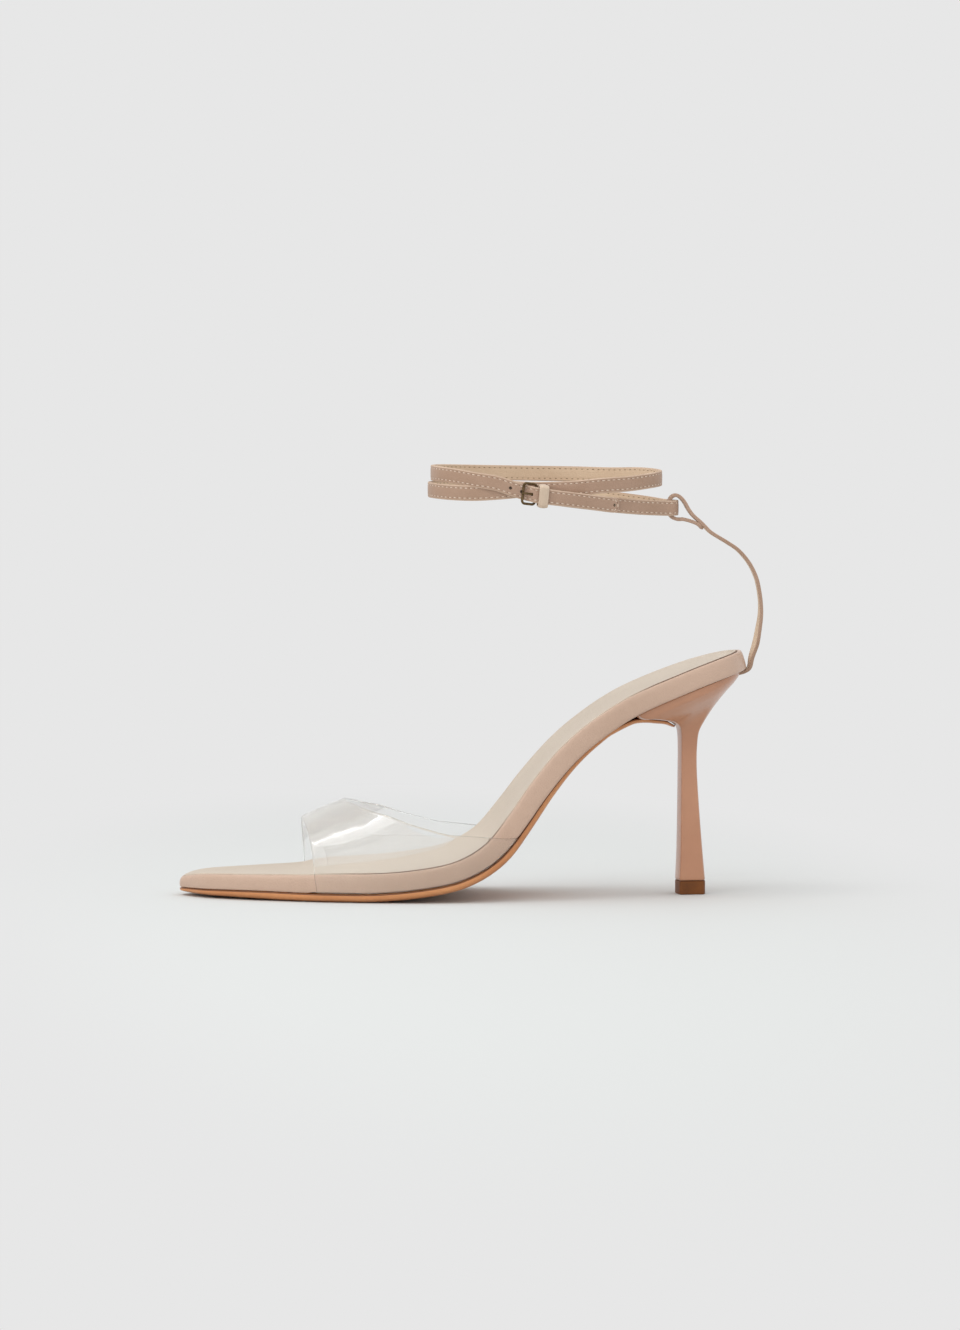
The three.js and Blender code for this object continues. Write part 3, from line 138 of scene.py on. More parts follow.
# A smooth piece from points in millimetres, with a material number for each face
def addMesh(name, points, faces, materials, marks=None, uv=None):
    mesh = bpy.data.meshes.new(name)
    mesh.from_pydata([tuple(p) for p in np.asarray(points) * 0.001], [], faces)
    for material in materials:
        mesh.materials.append(material)
    if marks is not None:
        mesh.polygons.foreach_set("material_index", marks)
    if uv is not None:
        layer = mesh.uv_layers.new(name="UVMap")
        corners = np.empty(len(mesh.loops), int)
        mesh.loops.foreach_get("vertex_index", corners)
        layer.data.foreach_set("uv", (np.asarray(uv) * 0.001)[corners].ravel())
    mesh.validate()
    mesh.polygons.foreach_set("use_smooth", [True] * len(mesh.polygons))
    piece = bpy.data.objects.new(name, mesh)
    bpy.context.scene.collection.objects.link(piece)
    turnOutwards(piece)
    return piece


# Joins doubled points and turns every face outwards
def turnOutwards(piece):
    bpy.context.view_layer.objects.active = piece
    for other in bpy.context.selected_objects:
        other.select_set(False)
    piece.select_set(True)
    bpy.ops.object.mode_set(mode="EDIT")
    bpy.ops.mesh.select_all(action="SELECT")
    bpy.ops.mesh.remove_doubles(threshold=1e-7)
    bpy.ops.mesh.normals_make_consistent(inside=False)
    bpy.ops.object.mode_set(mode="OBJECT")


def subdivide(piece, levels):
    modifier = piece.modifiers.new("fine", "SUBSURF")
    modifier.levels = levels
    modifier.render_levels = levels
    return piece


# Puts a piece under the root body and hides the solids that it stands for; the slot name is not used
def finish(piece, slotName, *nodes):
    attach(piece, "root")
    if nodes:
        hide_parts(*nodes)
    return piece


# A colour code as linear values
def shade(text):
    parts = [int(text[i:i + 2], 16) / 255 for i in (1, 3, 5)]
    return [c / 12.92 if c <= 0.04045 else ((c + 0.055) / 1.055) ** 2.4 for c in parts] + [1.0]


# A material whose surface takes the named values; its parts are handed back with it
def newMaterial(name, values):
    material = bpy.data.materials.new(name)
    material.use_nodes = True
    nodes = material.node_tree.nodes
    surface = nodes["Principled BSDF"]
    for socket, value in values.items():
        surface.inputs[socket].default_value = value
    return material, nodes, material.node_tree.links, surface


def newGroup(name, inputs, outputs):
    group = bpy.data.node_groups.new(name, "ShaderNodeTree")
    for label, kind, value in inputs:
        socket = group.interface.new_socket(name=label, in_out="INPUT", socket_type=kind)
        if value is not None:
            socket.default_value = value
    for label, kind in outputs:
        group.interface.new_socket(name=label, in_out="OUTPUT", socket_type=kind)
    return group, group.nodes.new("NodeGroupInput"), group.nodes.new("NodeGroupOutput")


def placeGroup(nodes, group, **values):
    node = nodes.new("ShaderNodeGroup")
    node.node_tree = group
    for label, value in values.items():
        node.inputs[label].default_value = value
    return node


def addMath(tree, operation, first, second=None, third=None):
    node = tree.nodes.new("ShaderNodeMath")
    node.operation = operation
    for i, value in enumerate((first, second, third)):
        if value is None:
            continue
        if isinstance(value, (int, float)):
            node.inputs[i].default_value = value
        else:
            tree.links.new(value, node.inputs[i])
    return node.outputs[0]


# Grain of a fine leather: cells with soft valleys, pores and slow waves
def makeGrainGroup():
    group, given, result = newGroup(
        "leatherGrain",
        [("Vector", "NodeSocketVector", None), ("Cells", "NodeSocketFloat", 1400.0),
         ("Waves", "NodeSocketFloat", 90.0), ("WaveShare", "NodeSocketFloat", 0.5)],
        [("Height", "NodeSocketFloat"), ("Valleys", "NodeSocketFloat")])
    nodes, links = group.nodes, group.links
    cells = nodes.new("ShaderNodeTexVoronoi")
    cells.feature = "SMOOTH_F1"
    cells.inputs["Smoothness"].default_value = 0.6
    pores = nodes.new("ShaderNodeTexNoise")
    pores.inputs["Detail"].default_value = 3
    waves = nodes.new("ShaderNodeTexNoise")
    waves.inputs["Detail"].default_value = 2
    for node in (cells, pores, waves):
        links.new(given.outputs["Vector"], node.inputs["Vector"])
    links.new(given.outputs["Cells"], cells.inputs["Scale"])
    links.new(addMath(group, "MULTIPLY", given.outputs["Cells"], 2.3), pores.inputs["Scale"])
    links.new(given.outputs["Waves"], waves.inputs["Scale"])
    valley = addMath(group, "POWER", cells.outputs["Distance"], 2.0)
    fine = addMath(group, "MULTIPLY_ADD", pores.outputs[0], 0.35, valley)
    slow = addMath(group, "MULTIPLY", waves.outputs[0], given.outputs["WaveShare"])
    links.new(addMath(group, "SUBTRACT", slow, fine), result.inputs["Height"])
    links.new(valley, result.inputs["Valleys"])
    return group


# Slow drift of tone and small darker marks, which vary a base colour
def makeDriftGroup():
    group, given, result = newGroup(
        "toneDrift",
        [("Vector", "NodeSocketVector", None), ("Light", "NodeSocketColor", None), ("Dark", "NodeSocketColor", None),
         ("Drift", "NodeSocketFloat", 18.0), ("Marks", "NodeSocketFloat", 0.15)],
        [("Color", "NodeSocketColor"), ("Mask", "NodeSocketFloat")])
    nodes, links = group.nodes, group.links
    drift = nodes.new("ShaderNodeTexNoise")
    drift.inputs["Detail"].default_value = 4
    specks = nodes.new("ShaderNodeTexNoise")
    specks.inputs["Detail"].default_value = 5
    for node in (drift, specks):
        links.new(given.outputs["Vector"], node.inputs["Vector"])
    links.new(given.outputs["Drift"], drift.inputs["Scale"])
    links.new(addMath(group, "MULTIPLY", given.outputs["Drift"], 22.0), specks.inputs["Scale"])
    slow = nodes.new("ShaderNodeMapRange")
    slow.inputs["From Min"].default_value = 0.3
    slow.inputs["From Max"].default_value = 0.7
    links.new(drift.outputs[0], slow.inputs["Value"])
    fine = addMath(group, "MULTIPLY", addMath(group, "SUBTRACT", specks.outputs[0], 0.5), given.outputs["Marks"])
    mask = addMath(group, "ADD", slow.outputs[0], fine)
    mix = nodes.new("ShaderNodeMix")
    mix.data_type = "RGBA"
    links.new(mask, mix.inputs["Factor"])
    links.new(given.outputs["Light"], mix.inputs[6])
    links.new(given.outputs["Dark"], mix.inputs[7])
    links.new(mix.outputs[2], result.inputs["Color"])
    links.new(mask, result.inputs["Mask"])
    return group


grainGroup = makeGrainGroup()
driftGroup = makeDriftGroup()


# Raises a surface by a height
def addBump(material, surface, height, look):
    bump = material.node_tree.nodes.new("ShaderNodeBump")
    bump.inputs["Strength"].default_value = look["relief"]
    bump.inputs["Distance"].default_value = look["depth"]
    material.node_tree.links.new(height, bump.inputs["Height"])
    material.node_tree.links.new(bump.outputs["Normal"], surface.inputs["Normal"])


# Fine relief of plain noise, in stretched space where the look says so
def addNoiseBump(material, surface, place, look):
    nodes, links = material.node_tree.nodes, material.node_tree.links
    noise = nodes.new("ShaderNodeTexNoise")
    noise.inputs["Scale"].default_value = look["scale"]
    noise.inputs["Detail"].default_value = look.get("detail", 2)
    if "stretch" in look:
        stretch = nodes.new("ShaderNodeMapping")
        stretch.inputs["Scale"].default_value = look["stretch"]
        links.new(place, stretch.inputs["Vector"])
        place = stretch.outputs[0]
    links.new(place, noise.inputs["Vector"])
    addBump(material, surface, noise.outputs[0], look)


# A material in two drifting tones
def makeToned(name, look, values):
    material, nodes, links, surface = newMaterial(name, values)
    place = nodes.new("ShaderNodeTexCoord").outputs["Object"]
    drift = placeGroup(nodes, driftGroup, Light=shade(look["light"]), Dark=shade(look["dark"]),
                       Drift=look["drift"], Marks=look["marks"])
    links.new(place, drift.inputs["Vector"])
    links.new(drift.outputs["Color"], surface.inputs["Base Color"])
    return material, place, drift, surface


# A toned material with fine relief, for everything but the grained leathers
def makePlain(name, look):
    material, place, _, surface = makeToned(name, look, look["surface"])
    addNoiseBump(material, surface, place, look)
    return material


# Painted shade at the sock's edge: dark over stretches along the shoe where the groove by the rim is shaded, and a
# lighter tone elsewhere, a painted highlight on the ridge
def paintGrooveShade(material, place, look, drift):
    tree = material.node_tree
    nodes, links = tree.nodes, tree.links
    apart = nodes.new("ShaderNodeSeparateXYZ")
    links.new(place, apart.inputs[0])
    mask = 0.0
    for start, end in grooveShade["shaded"]:
        edges = []
        for low, high in ((start - grooveShade["fade"], start), (end + grooveShade["fade"], end)):
            edge = nodes.new("ShaderNodeMapRange")
            edge.interpolation_type = "SMOOTHSTEP"
            edge.inputs["From Min"].default_value = low
            edge.inputs["From Max"].default_value = high
            links.new(apart.outputs["X"], edge.inputs["Value"])
            edges.append(edge.outputs[0])
        mask = addMath(tree, "ADD", addMath(tree, "MULTIPLY", *edges), mask)
    for label, tone in (("Light", "light"), ("Dark", "dark")):
        mix = nodes.new("ShaderNodeMix")
        mix.data_type = "RGBA"
        mix.inputs[6].default_value = shade(grooveShade[tone])
        mix.inputs[7].default_value = shade(look[tone])
        links.new(mask, mix.inputs[0])
        links.new(mix.outputs[2], drift.inputs[label])


# A leather with grain, drift and a roughness that follows its tone
def makeLeather(name, look):
    material, place, drift, surface = makeToned(name, look, {
        "Roughness": look["roughness"], "Specular IOR Level": look["gloss"],
        "Sheen Weight": look["sheen"], "Sheen Roughness": 0.5})
    nodes, links = material.node_tree.nodes, material.node_tree.links
    grain = placeGroup(nodes, grainGroup, Cells=look["cells"], Waves=look["waves"], WaveShare=look["waveShare"])
    links.new(place, grain.inputs["Vector"])
    # The edge material gets painted shade and a painted highlight in stretches along the shoe
    if name == grooveShade["of"]:
        paintGrooveShade(material, place, look, drift)
    addBump(material, surface, grain.outputs["Height"], look)
    rough = nodes.new("ShaderNodeMapRange")
    rough.inputs["To Min"].default_value = look["roughness"] - 0.05
    rough.inputs["To Max"].default_value = look["roughness"] + 0.08
    links.new(drift.outputs["Mask"], rough.inputs["Value"])
    links.new(rough.outputs[0], surface.inputs["Roughness"])
    return material


# The leathers, a row each, and the stretches along the shoe in metres where the sock's edge gets painted shade
leatherColumns = ("light", "dark", "roughness", "gloss", "sheen", "drift", "marks",
                  "cells", "waves", "waveShare", "relief", "depth")
leathers = {
    "footbedLeather": ("#c4a793", "#b79a86", 0.36, 0.5, 0.03, 14, 0.5, 1500, 120, 0.7, 0.25, 0.0004),
    "sockLeather": ("#c6b9a9", "#bbad9d", 0.55, 0.3, 0.06, 12, 0.4, 1700, 90, 0.8, 0.2, 0.0004),
    # Dark tones of painted shade, for the sock's edge groove and the walls of the strap's holes
    "edgeAndHoleShade": ("#8d7564", "#6b5648", 0.6, 0.3, 0, 60, 0.6, 2400, 400, 0.4, 0.3, 0.0002),
    "strapLeather": ("#ae907c", "#a0826c", 0.46, 0.4, 0.05, 40, 0.6, 2000, 200, 0.6, 0.3, 0.0003),
    "strapLining": ("#cfb69b", "#c1a68b", 0.6, 0.3, 0.08, 45, 0.7, 2400, 240, 0.4, 0.3, 0.0003),
    "strapEdge": ("#cdb5a0", "#b69c86", 0.6, 0.3, 0, 60, 0.8, 2600, 500, 0.4, 0.4, 0.0002),
    "keeperLeather": ("#ccb8a2", "#bfa791", 0.42, 0.45, 0.05, 60, 0.4, 2000, 200, 0.6, 0.2, 0.0003),
}
# Painted shade on the sock's edge: the tones away from the shaded stretches, which are in metres along the shoe
grooveShade = {"of": "edgeAndHoleShade", "light": "#cdbfae", "dark": "#bfae9c", "fade": 0.02,
        "shaded": ((-0.045, 0.0), (0.075, 0.12))}
leather = {name: makeLeather(name, dict(zip(leatherColumns, row))) for name, row in leathers.items()}
print("leathers made")


# The sole's shared shape, in millimetres. side and toe: share of the reach, share of the rise or spring.
# thinning and banking: share of the length, share of the size. outline: share of the length, full width,
# its outer share, its inner share.
sole = {
    "gap": 0.3, "reach": 224.4, "seatRise": 86, "toeSpring": 0.3, "ballWidth": 76.2, "waistWidth": 48.6,
    "heelWidth": 52, "toeSwing": 8, "thickness": 7.6, "cup": 1.1, "bank": 1.9, "tread": 3.2, "tongue": 30,
    "side": [
        (0.23, 0), (0.26, 0), (0.29, 0), (0.33, 0.0015), (0.401, 0.0171),
        (0.467, 0.0464), (0.4987, 0.0741), (0.5303, 0.1173), (0.5615, 0.1815), (0.6034, 0.3187),
        (0.6373, 0.4394), (0.6814, 0.5742), (0.7219, 0.6696), (0.7928, 0.7941), (0.8908, 0.9068),
        (0.9532, 0.9649), (1, 1),
    ],
    "toe": [
        (0, -1.2), (0.045, 0.2), (0.09, 0.9), (0.145, 1), (0.2, 0.3),
    ],
    "thinning": [
        (0, 0.68), (0.05, 0.77), (0.1, 0.8), (0.18, 0.9), (0.27, 1), (0.5, 1),
    ],
    "banking": [
        (0.1, 0), (0.16, 0), (0.27, 0.95), (0.4, 1), (0.6, 1.05),
        (0.75, 1), (0.88, 0.6), (1, 0.15),
    ],
    "outline": [
        (0.012, 76.2, -0.022, 0.2), (0.04, 76.2, 0.11, 0.272), (0.08, 76.2, 0.205, 0.323),
        (0.12, 76.2, 0.278, 0.366), (0.18, 76.2, 0.37, 0.425), (0.24, 76.2, 0.438, 0.467),
        (0.3, 76.2, 0.487, 0.489), (0.36, 76.2, 0.513, 0.486), (0.42, 76.2, 0.514, 0.463),
        (0.48, 76.2, 0.487, 0.42), (0.54, 76.2, 0.446, 0.368), (0.6, 76.2, 0.406, 0.322),
        (0.66, 48.6, 0.587, 0.453), (0.72, 48.6, 0.557, 0.443), (0.78, 48.6, 0.551, 0.469),
        (0.84, 52, 0.519, 0.471), (0.885, 52, 0.508, 0.49), (0.925, 52, 0.464, 0.457),
        (0.96, 52, 0.378, 0.376), (0.986, 52, 0.236, 0.236),
    ],
}
rest = sole["tread"] + sole["gap"]


# Carries along, across and height to the shoe's frame, bent to a side line
class SideFrame:
    def __init__(self, points):
        self.line = SmoothLine(points)
        self.length = self.line.length

    def place(self, along, across, height):
        along, across, height = np.broadcast_arrays(*(np.asarray(v, float) for v in (along, across, height)))
        shape = along.shape
        along, across, height = along.ravel(), across.ravel(), height.ravel()
        kept = np.clip(along, 0, self.length)
        share = self.line.shareAt(kept)
        point, run = self.line.at(share), self.line.direction(share)
        x = point[:, 0] + run[:, 0] * (along - kept) - run[:, 1] * height
        z = point[:, 1] + run[:, 1] * (along - kept) + run[:, 0] * height
        return np.stack([x, across, z], axis=1).reshape(shape + (3,))


footFrame = SideFrame(
    [(a * sole["reach"], rest + lift * sole["toeSpring"]) for a, lift in sole["toe"]]
    + [(a * sole["reach"], rest + rise * sole["seatRise"]) for a, rise in sole["side"]])
footLength = footFrame.length


# Both sides of an outline as matched points, toe first
def outlineSides(rows, length, tipAcross, count):
    outer = [(row[0] * length, -row[2] * row[1]) for row in rows]
    inner = [(row[0] * length, row[3] * row[1]) for row in rows]
    loop = [(0, tipAcross)] + outer + [(length, 0)] + inner[::-1]
    line = SmoothLine(loop, closed=True)
    backShare = (len(outer) + 1) / len(loop)
    even = np.linspace(0, 1, count + 1)
    share = even - 0.4 * np.sin(2 * np.pi * even) / (2 * np.pi)
    return line.at(share * backShare), line.at((1 - share * (1 - backShare)) % 1)


# The outline as one loop, moved inwards by a distance
def insetLoop(sides, distance):
    outer, inner = sides
    loop = np.vstack([outer, inner[1:-1][::-1]])
    run = unit(np.roll(loop, -1, axis=0) - np.roll(loop, 1, axis=0))
    return np.stack([loop[:, 0] - run[:, 1] * distance, loop[:, 1] + run[:, 0] * distance], axis=1)


footSides = outlineSides(sole["outline"], footLength, sole["toeSwing"], 150)


def edgeAt(side, along):
    points = footSides[0 if side < 0 else 1]
    return np.interp(along, points[:, 0], points[:, 1])


# Height of the footbed's top: thinner at the toe, banked towards the inner side
def topAt(along, across):
    share = np.clip(np.asarray(along, float) / footLength, 0.0001, 0.9999)
    thin = np.where(share > 0.3, 1.0, readTable(sole["thinning"], 1, share))
    bank = np.where(share < 0.16, 0.0, readTable(sole["banking"], 1, share))
    lean = np.clip(np.asarray(across, float) / sole["ballWidth"] + 0.5, 0, 1)
    return sole["thickness"] * thin + sole["bank"] * bank * lean


def hollow(along):
    return sole["cup"] * smoothStep(along, 0.12 * footLength, 0.45 * footLength)


# The part's own shift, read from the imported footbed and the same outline
def findShift():
    rough = insetLoop(outlineSides(sole["outline"], footLength, sole["toeSwing"], 50), 0)
    low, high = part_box("footbed")
    heights = 0.4 * topAt(rough[:, 0], rough[:, 1])
    side = footFrame.place(rough[:, 0], rough[:, 1], heights)
    return np.array([low.x * 1000 - side[:, 0].min(), low.y * 1000 - side[:, 1].min(), 0])


shift = findShift()
print("shift", shift.round(3))


# A slab that follows a side line: rings of inset and height, bottom first, with caps of strips across
def slab(sideFrame, sides, rings, columns, cuppedRings=()):
    loops, points = [], []
    for inward, height in rings:
        loop = insetLoop(sides, inward)
        level = height(loop[:, 0], loop[:, 1]) if callable(height) else height
        loops.append((loop, height))
        points.append(sideFrame.place(loop[:, 0], loop[:, 1], level))
    size = len(loops[0][0])
    faces = gridFaces(len(rings), size, roundColumns=True)
    count = len(sides[0])
    total = size * len(rings)
    for ring, cupped in ((0, 0 in cuppedRings), (len(rings) - 1, 1 in cuppedRings)):
        loop, height = loops[ring]
        left = loop[:count]
        right = np.vstack([loop[:1], loop[count:][::-1], loop[count - 1:count]])
        share = np.linspace(0, 1, columns + 1)[None, 1:-1, None]
        inside = left[1:-1, None, :] * (1 - share) + right[1:-1, None, :] * share
        level = height(inside[..., 0], inside[..., 1]) if callable(height) else height
        dip = hollow(inside[..., 0]) * (1 - (2 * share[..., 0] - 1) ** 2) if cupped else 0
        points.append(sideFrame.place(inside[..., 0], inside[..., 1], level - dip).reshape(-1, 3))
        start = ring * size
        leftIds = start + np.arange(count)
        rightIds = np.concatenate([[start], start + size - np.arange(1, count - 1), [start + count - 1]])
        rows = []
        for i in range(1, count - 1):
            middle = total + (i - 1) * (columns - 1) + np.arange(columns - 1)
            rows.append([leftIds[i], *middle, rightIds[i]])
        for i in range(len(rows) - 1):
            faces += [(rows[i][c], rows[i][c + 1], rows[i + 1][c + 1], rows[i + 1][c]) for c in range(columns)]
        for tip, row in ((leftIds[0], rows[0]), (leftIds[-1], rows[-1])):
            faces += [(tip, row[c], row[c + 1]) for c in range(columns)]
        total += (count - 2) * (columns - 1)
    return np.vstack(points) + shift, faces


# Rings of a profile, smoothed through its corners
def smoothProfile(knots, count):
    spots = SmoothLine(knots).at(np.linspace(0, 1, count))
    return [tuple(spot) for spot in spots]


# Footbed wrapped in leather, turned over a soft top edge
footbed = {"margin": 1.7, "recess": 1.0, "rings": 26, "tuckRise": 0.5, "tipRoll": 0.36, "tipReach": 11,
           "softness": 0.27, "softToe": (0.12, 0.3)}
vampReach = (0.2, 0.54)


# The toe's upper edge rolls down to its tip
def tipRoll(along, part):
    away = 1 - np.clip(np.asarray(along, float) / footbed["tipReach"], 0, 1)
    return 1 - footbed["tipRoll"] * (1 - np.sqrt(1 - away ** 2)) * part


# The side wall leans in softly towards its top edge at the toe
def shoulder(along, part):
    toe = 1 - smoothStep(np.asarray(along, float) / footLength, *footbed["softToe"])
    return 1 - footbed["softness"] * toe * math.sqrt(min(1, max(0, 3 * (1 - part))))


def makeFootbed():
    def underside(along):
        share = along / footLength
        return footbed["tuckRise"] * smoothStep(share, vampReach[0] - 0.004, vampReach[0]) * (
            1 - smoothStep(share, vampReach[1], vampReach[1] + 0.004))

    def level(part):
        return lambda along, across: np.maximum(
            part * topAt(along, across) * tipRoll(along, part) * shoulder(along, part),
            underside(along) + 0.12 * part)

    knots = [(1.0, 0), (0.35, 0.03), (0.08, 0.12), (0, 0.3), (0.0, 0.55), (0.08, 0.78), (0.34, 0.93),
             (0.8, 0.99), (1.36, 1)]
    rings = [(inward, level(part)) for inward, part in smoothProfile(knots, footbed["rings"])]
    lip = footbed["margin"] + 0.1
    for inward, drop in ((1.62, 0.06), (lip - 0.02, 0.35), (lip, footbed["recess"])):
        rings.append((inward, lambda along, across, drop=drop: topAt(along, across) * tipRoll(along, 1) - drop))
    points, faces = slab(footFrame, footSides, rings, 6, cuppedRings=(1,))
    return finish(addMesh("footbed_leather", points, faces, [leather["footbedLeather"]]), "leather", "footbed")


# Sock of soft leather, let into the footbed
sock = {"thickness": 0.8, "proud": 0.24, "columns": 22, "cutRings": 9}


def makeSock():
    def bottom(along, across):
        return topAt(along, across) * tipRoll(along, 1) - footbed["recess"] + sole["gap"]

    def level(share):
        return lambda along, across: bottom(along, across) + share * (sock["thickness"] + sock["proud"])

    inward = footbed["margin"] + sole["gap"]
    knots = [(0.15, 0), (0, 0.3), (0.01, 0.72), (0.14, 0.93), (0.5, 1), (1.6, 1.03)]
    rings = [(inward + step, level(share)) for step, share in smoothProfile(knots, 13)]
    points, faces = slab(footFrame, footSides, rings, sock["columns"], cuppedRings=(0, 1))
    around = len(insetLoop(footSides, 0))
    # The sock's edge rings take the painted-shade material
    marks = [1] * (around * sock["cutRings"]) + [0] * (len(faces) - around * sock["cutRings"])
    piece = addMesh("sock", points, faces, [leather["sockLeather"], leather["edgeAndHoleShade"]], marks)
    return finish(piece, "insole_leather", "insole")


makeFootbed()
makeSock()
print("footbed and sock made")


# Heel: the stem and its flare, cut off along the seat. stem: share of the height, breast, back, width.
# flare: breast along, breast up, back along, back up, width, share of the turn.
heel = {
    "tipHeight": 5.3, "tipLength": 11.2, "tipWidth": 10.4, "tipEase": 0.35, "stemTop": 61.2, "seatLength": 44,
    "stemTurn": 6, "stemFrontRound": 0.05, "stemBackRound": 0.16, "seatBackRound": 0.56,
    "levels": 90, "searchSteps": 500,
    "stem": [
        (0, -0.5, 0.5, 1), (0.22, -0.46, 0.4, 0.93), (0.52, -0.435, 0.28, 0.86),
        (0.8, -0.42, 0.195, 0.83), (0.94, -0.415, 0.2, 0.84),
    ],
    "flare": [
        (-0.11, 0.074, 0.07, 0.12, 0.185, 0.9), (-0.122, 0.166, 0.125, 0.285, 0.23, 0.7),
        (-0.153, 0.219, 0.2, 0.465, 0.325, 0.5), (-0.185, 0.247, 0.255, 0.575, 0.42, 0.3),
        (-0.235, 0.272, 0.33, 0.715, 0.57, 0.15), (-0.3, 0.29, 0.388, 0.81, 0.7, 0),
        (-0.39, 0.307, 0.42, 0.875, 0.81, 0), (-0.51, 0.318, 0.437, 0.925, 0.9, 0),
        (-0.58, 0.42, 0.443, 1, 0.94, 0), (-0.58, 0.8, 0.443, 1.3, 0.94, 0),
    ],
}
stemAxis = 0.901 * sole["reach"]
flareHeight = rest + sole["seatRise"] - heel["stemTop"]


# One ring of the heel between its breast and its back, with rounded corners
def heelRing(breast, back, width, backRound, frontRound, turn, arcSteps=9):
    quarter = np.linspace(0, np.pi / 2, arcSteps + 1)
    front = [(frontRound * (1 - math.cos(q)), math.sin(q)) for q in quarter]
    rear = [(1 - backRound + backRound * math.sin(q), math.cos(q)) for q in quarter]
    flat = [(frontRound + s * (1 - backRound - frontRound), 1) for s in (0.04, 0.25, 0.5, 0.75, 0.96)]
    half = front + flat + rear
    spots = np.array([(u, v) for u, v in half] + [(u, -v) for u, v in half[1:-1][::-1]])
    points = breast[None] + (back - breast)[None] * spots[:, :1]
    points[:, 1] -= spots[:, 1] * width / 2
    middle = (breast + back) / 2
    angle = math.radians(turn)
    away = points - middle
    x = away[:, 0] * math.cos(angle) - away[:, 1] * math.sin(angle)
    y = away[:, 0] * math.sin(angle) + away[:, 1] * math.cos(angle)
    return np.stack([x, y, away[:, 2]], axis=1) + middle


def stemEnds(row):
    height = heel["tipHeight"] + sole["gap"] + row[0] * (heel["stemTop"] - heel["tipHeight"] - sole["gap"])
    return (np.array([stemAxis + row[1] * heel["tipLength"], 0, height]),
            np.array([stemAxis + row[2] * heel["tipLength"], 0, height]))


def flareEnds(row):
    breast = np.array([stemAxis + row[0] * heel["seatLength"], 0, heel["stemTop"] + row[1] * flareHeight])
    back = np.array([stemAxis + row[2] * heel["seatLength"], 0, heel["stemTop"] + row[3] * flareHeight])
    return breast, back


# Height of points above the footbed's underside, measured square to its side line
def aboveUnderside(points):
    along = np.linspace(0.6 * footLength, footLength, 900)
    share = footFrame.line.shareAt(along)
    spots, run = footFrame.line.at(share), footFrame.line.direction(share)
    away = points[:, None, [0, 2]] - spots[None]
    nearest = np.argmin(np.sum(away ** 2, axis=2), axis=1)
    gapTo = away[np.arange(len(points)), nearest]
    run = run[nearest]
    return gapTo[:, 1] * run[:, 0] - gapTo[:, 0] * run[:, 1]


def makeHeel(material):
    rings = []
    for row in heel["stem"]:
        breast, back = stemEnds(row)
        rings.append(heelRing(breast, back, row[3] * heel["tipWidth"], heel["stemBackRound"],
                              heel["stemFrontRound"], heel["stemTurn"]))
    for i, row in enumerate(heel["flare"]):
        breast, back = flareEnds(row)
        share = float(smoothStep(i / (len(heel["flare"]) - 3), 0, 1))
        backRound = heel["stemBackRound"] + (heel["seatBackRound"] - heel["stemBackRound"]) * share
        rings.append(heelRing(breast, back, row[4] * sole["heelWidth"], backRound, heel["stemFrontRound"],
                              heel["stemTurn"] * row[5]))
    columns = []
    for c in range(len(rings[0])):
        line = SmoothLine([ring[c] for ring in rings])
        spots = line.at(np.linspace(0, 1, heel["searchSteps"]))
        above = aboveUnderside(spots) + sole["gap"] * 0.4
        inPocket = 1 - smoothStep(abs(spots[:, 1]), strap["heelWidth"] / 2 + 0.2, strap["heelWidth"] / 2 + 0.5)
        atBack = smoothStep(spots[:, 0], stemAxis, stemAxis + 8)
        above = above + inPocket * atBack * (strap["heelThickness"] + 0.4)
        over = np.nonzero(above > 0)[0]
        last = over[0] if len(over) else len(spots) - 1
        end = last / (len(spots) - 1)
        if last > 0 and len(over):
            part = -above[last - 1] / (above[last] - above[last - 1])
            end = (last - 1 + part) / (len(spots) - 1)
        eased = np.concatenate([[0, 0.004], np.linspace(0.012, 1, heel["levels"])]) * end
        columns.append(line.at(eased))
    grid = np.stack(columns, axis=1)
    grid[0] = grid[0] + (grid[0].mean(axis=0) - grid[0]) * 0.03
    points, faces = closedRings(grid)
    return finish(addMesh("heel_block", points + shift, faces, [material]), "heel_lacquer", "heel")


def makeHeelTip(material):
    breast, back = stemEnds(heel["stem"][0])
    ease, height = heel["tipEase"], heel["tipHeight"]
    levels = [(0, ease), (0.08, ease * 0.45), (ease * 0.55, ease * 0.1), (ease, 0), (ease * 2, 0), (height * 0.5, 0),
              (height - 0.4, 0), (height - 0.2, 0), (height - 0.05, 0.06), (height, 0.2)]
    rings = []
    for z, shrink in levels:
        low, high = breast * [1, 1, 0] + [shrink, 0, z], back * [1, 1, 0] + [-shrink, 0, z]
        rings.append(heelRing(low, high, heel["tipWidth"] - 2 * shrink, heel["stemBackRound"],
                              heel["stemFrontRound"], heel["stemTurn"]))
    points, faces = closedRings(rings)
    return finish(addMesh("heel_top_piece", points + shift, faces, [material]), "heel_tip", "heel_tip")


lacquer = {
    "light": "#bb8768", "dark": "#ae7a5b", "drift": 30, "marks": 0.25,
    "scale": 120, "detail": 3, "relief": 0.05, "depth": 0.001,
    "surface": {"Roughness": 0.3, "Coat Weight": 0.35, "Coat Roughness": 0.12, "Specular IOR Level": 0.5},
}
tipRubber = {
    "light": "#784310", "dark": "#5e330b", "drift": 160, "marks": 1.0,
    "scale": 2500, "relief": 0.3, "depth": 0.0002, "surface": {"Roughness": 0.55, "Specular IOR Level": 0.4},
}


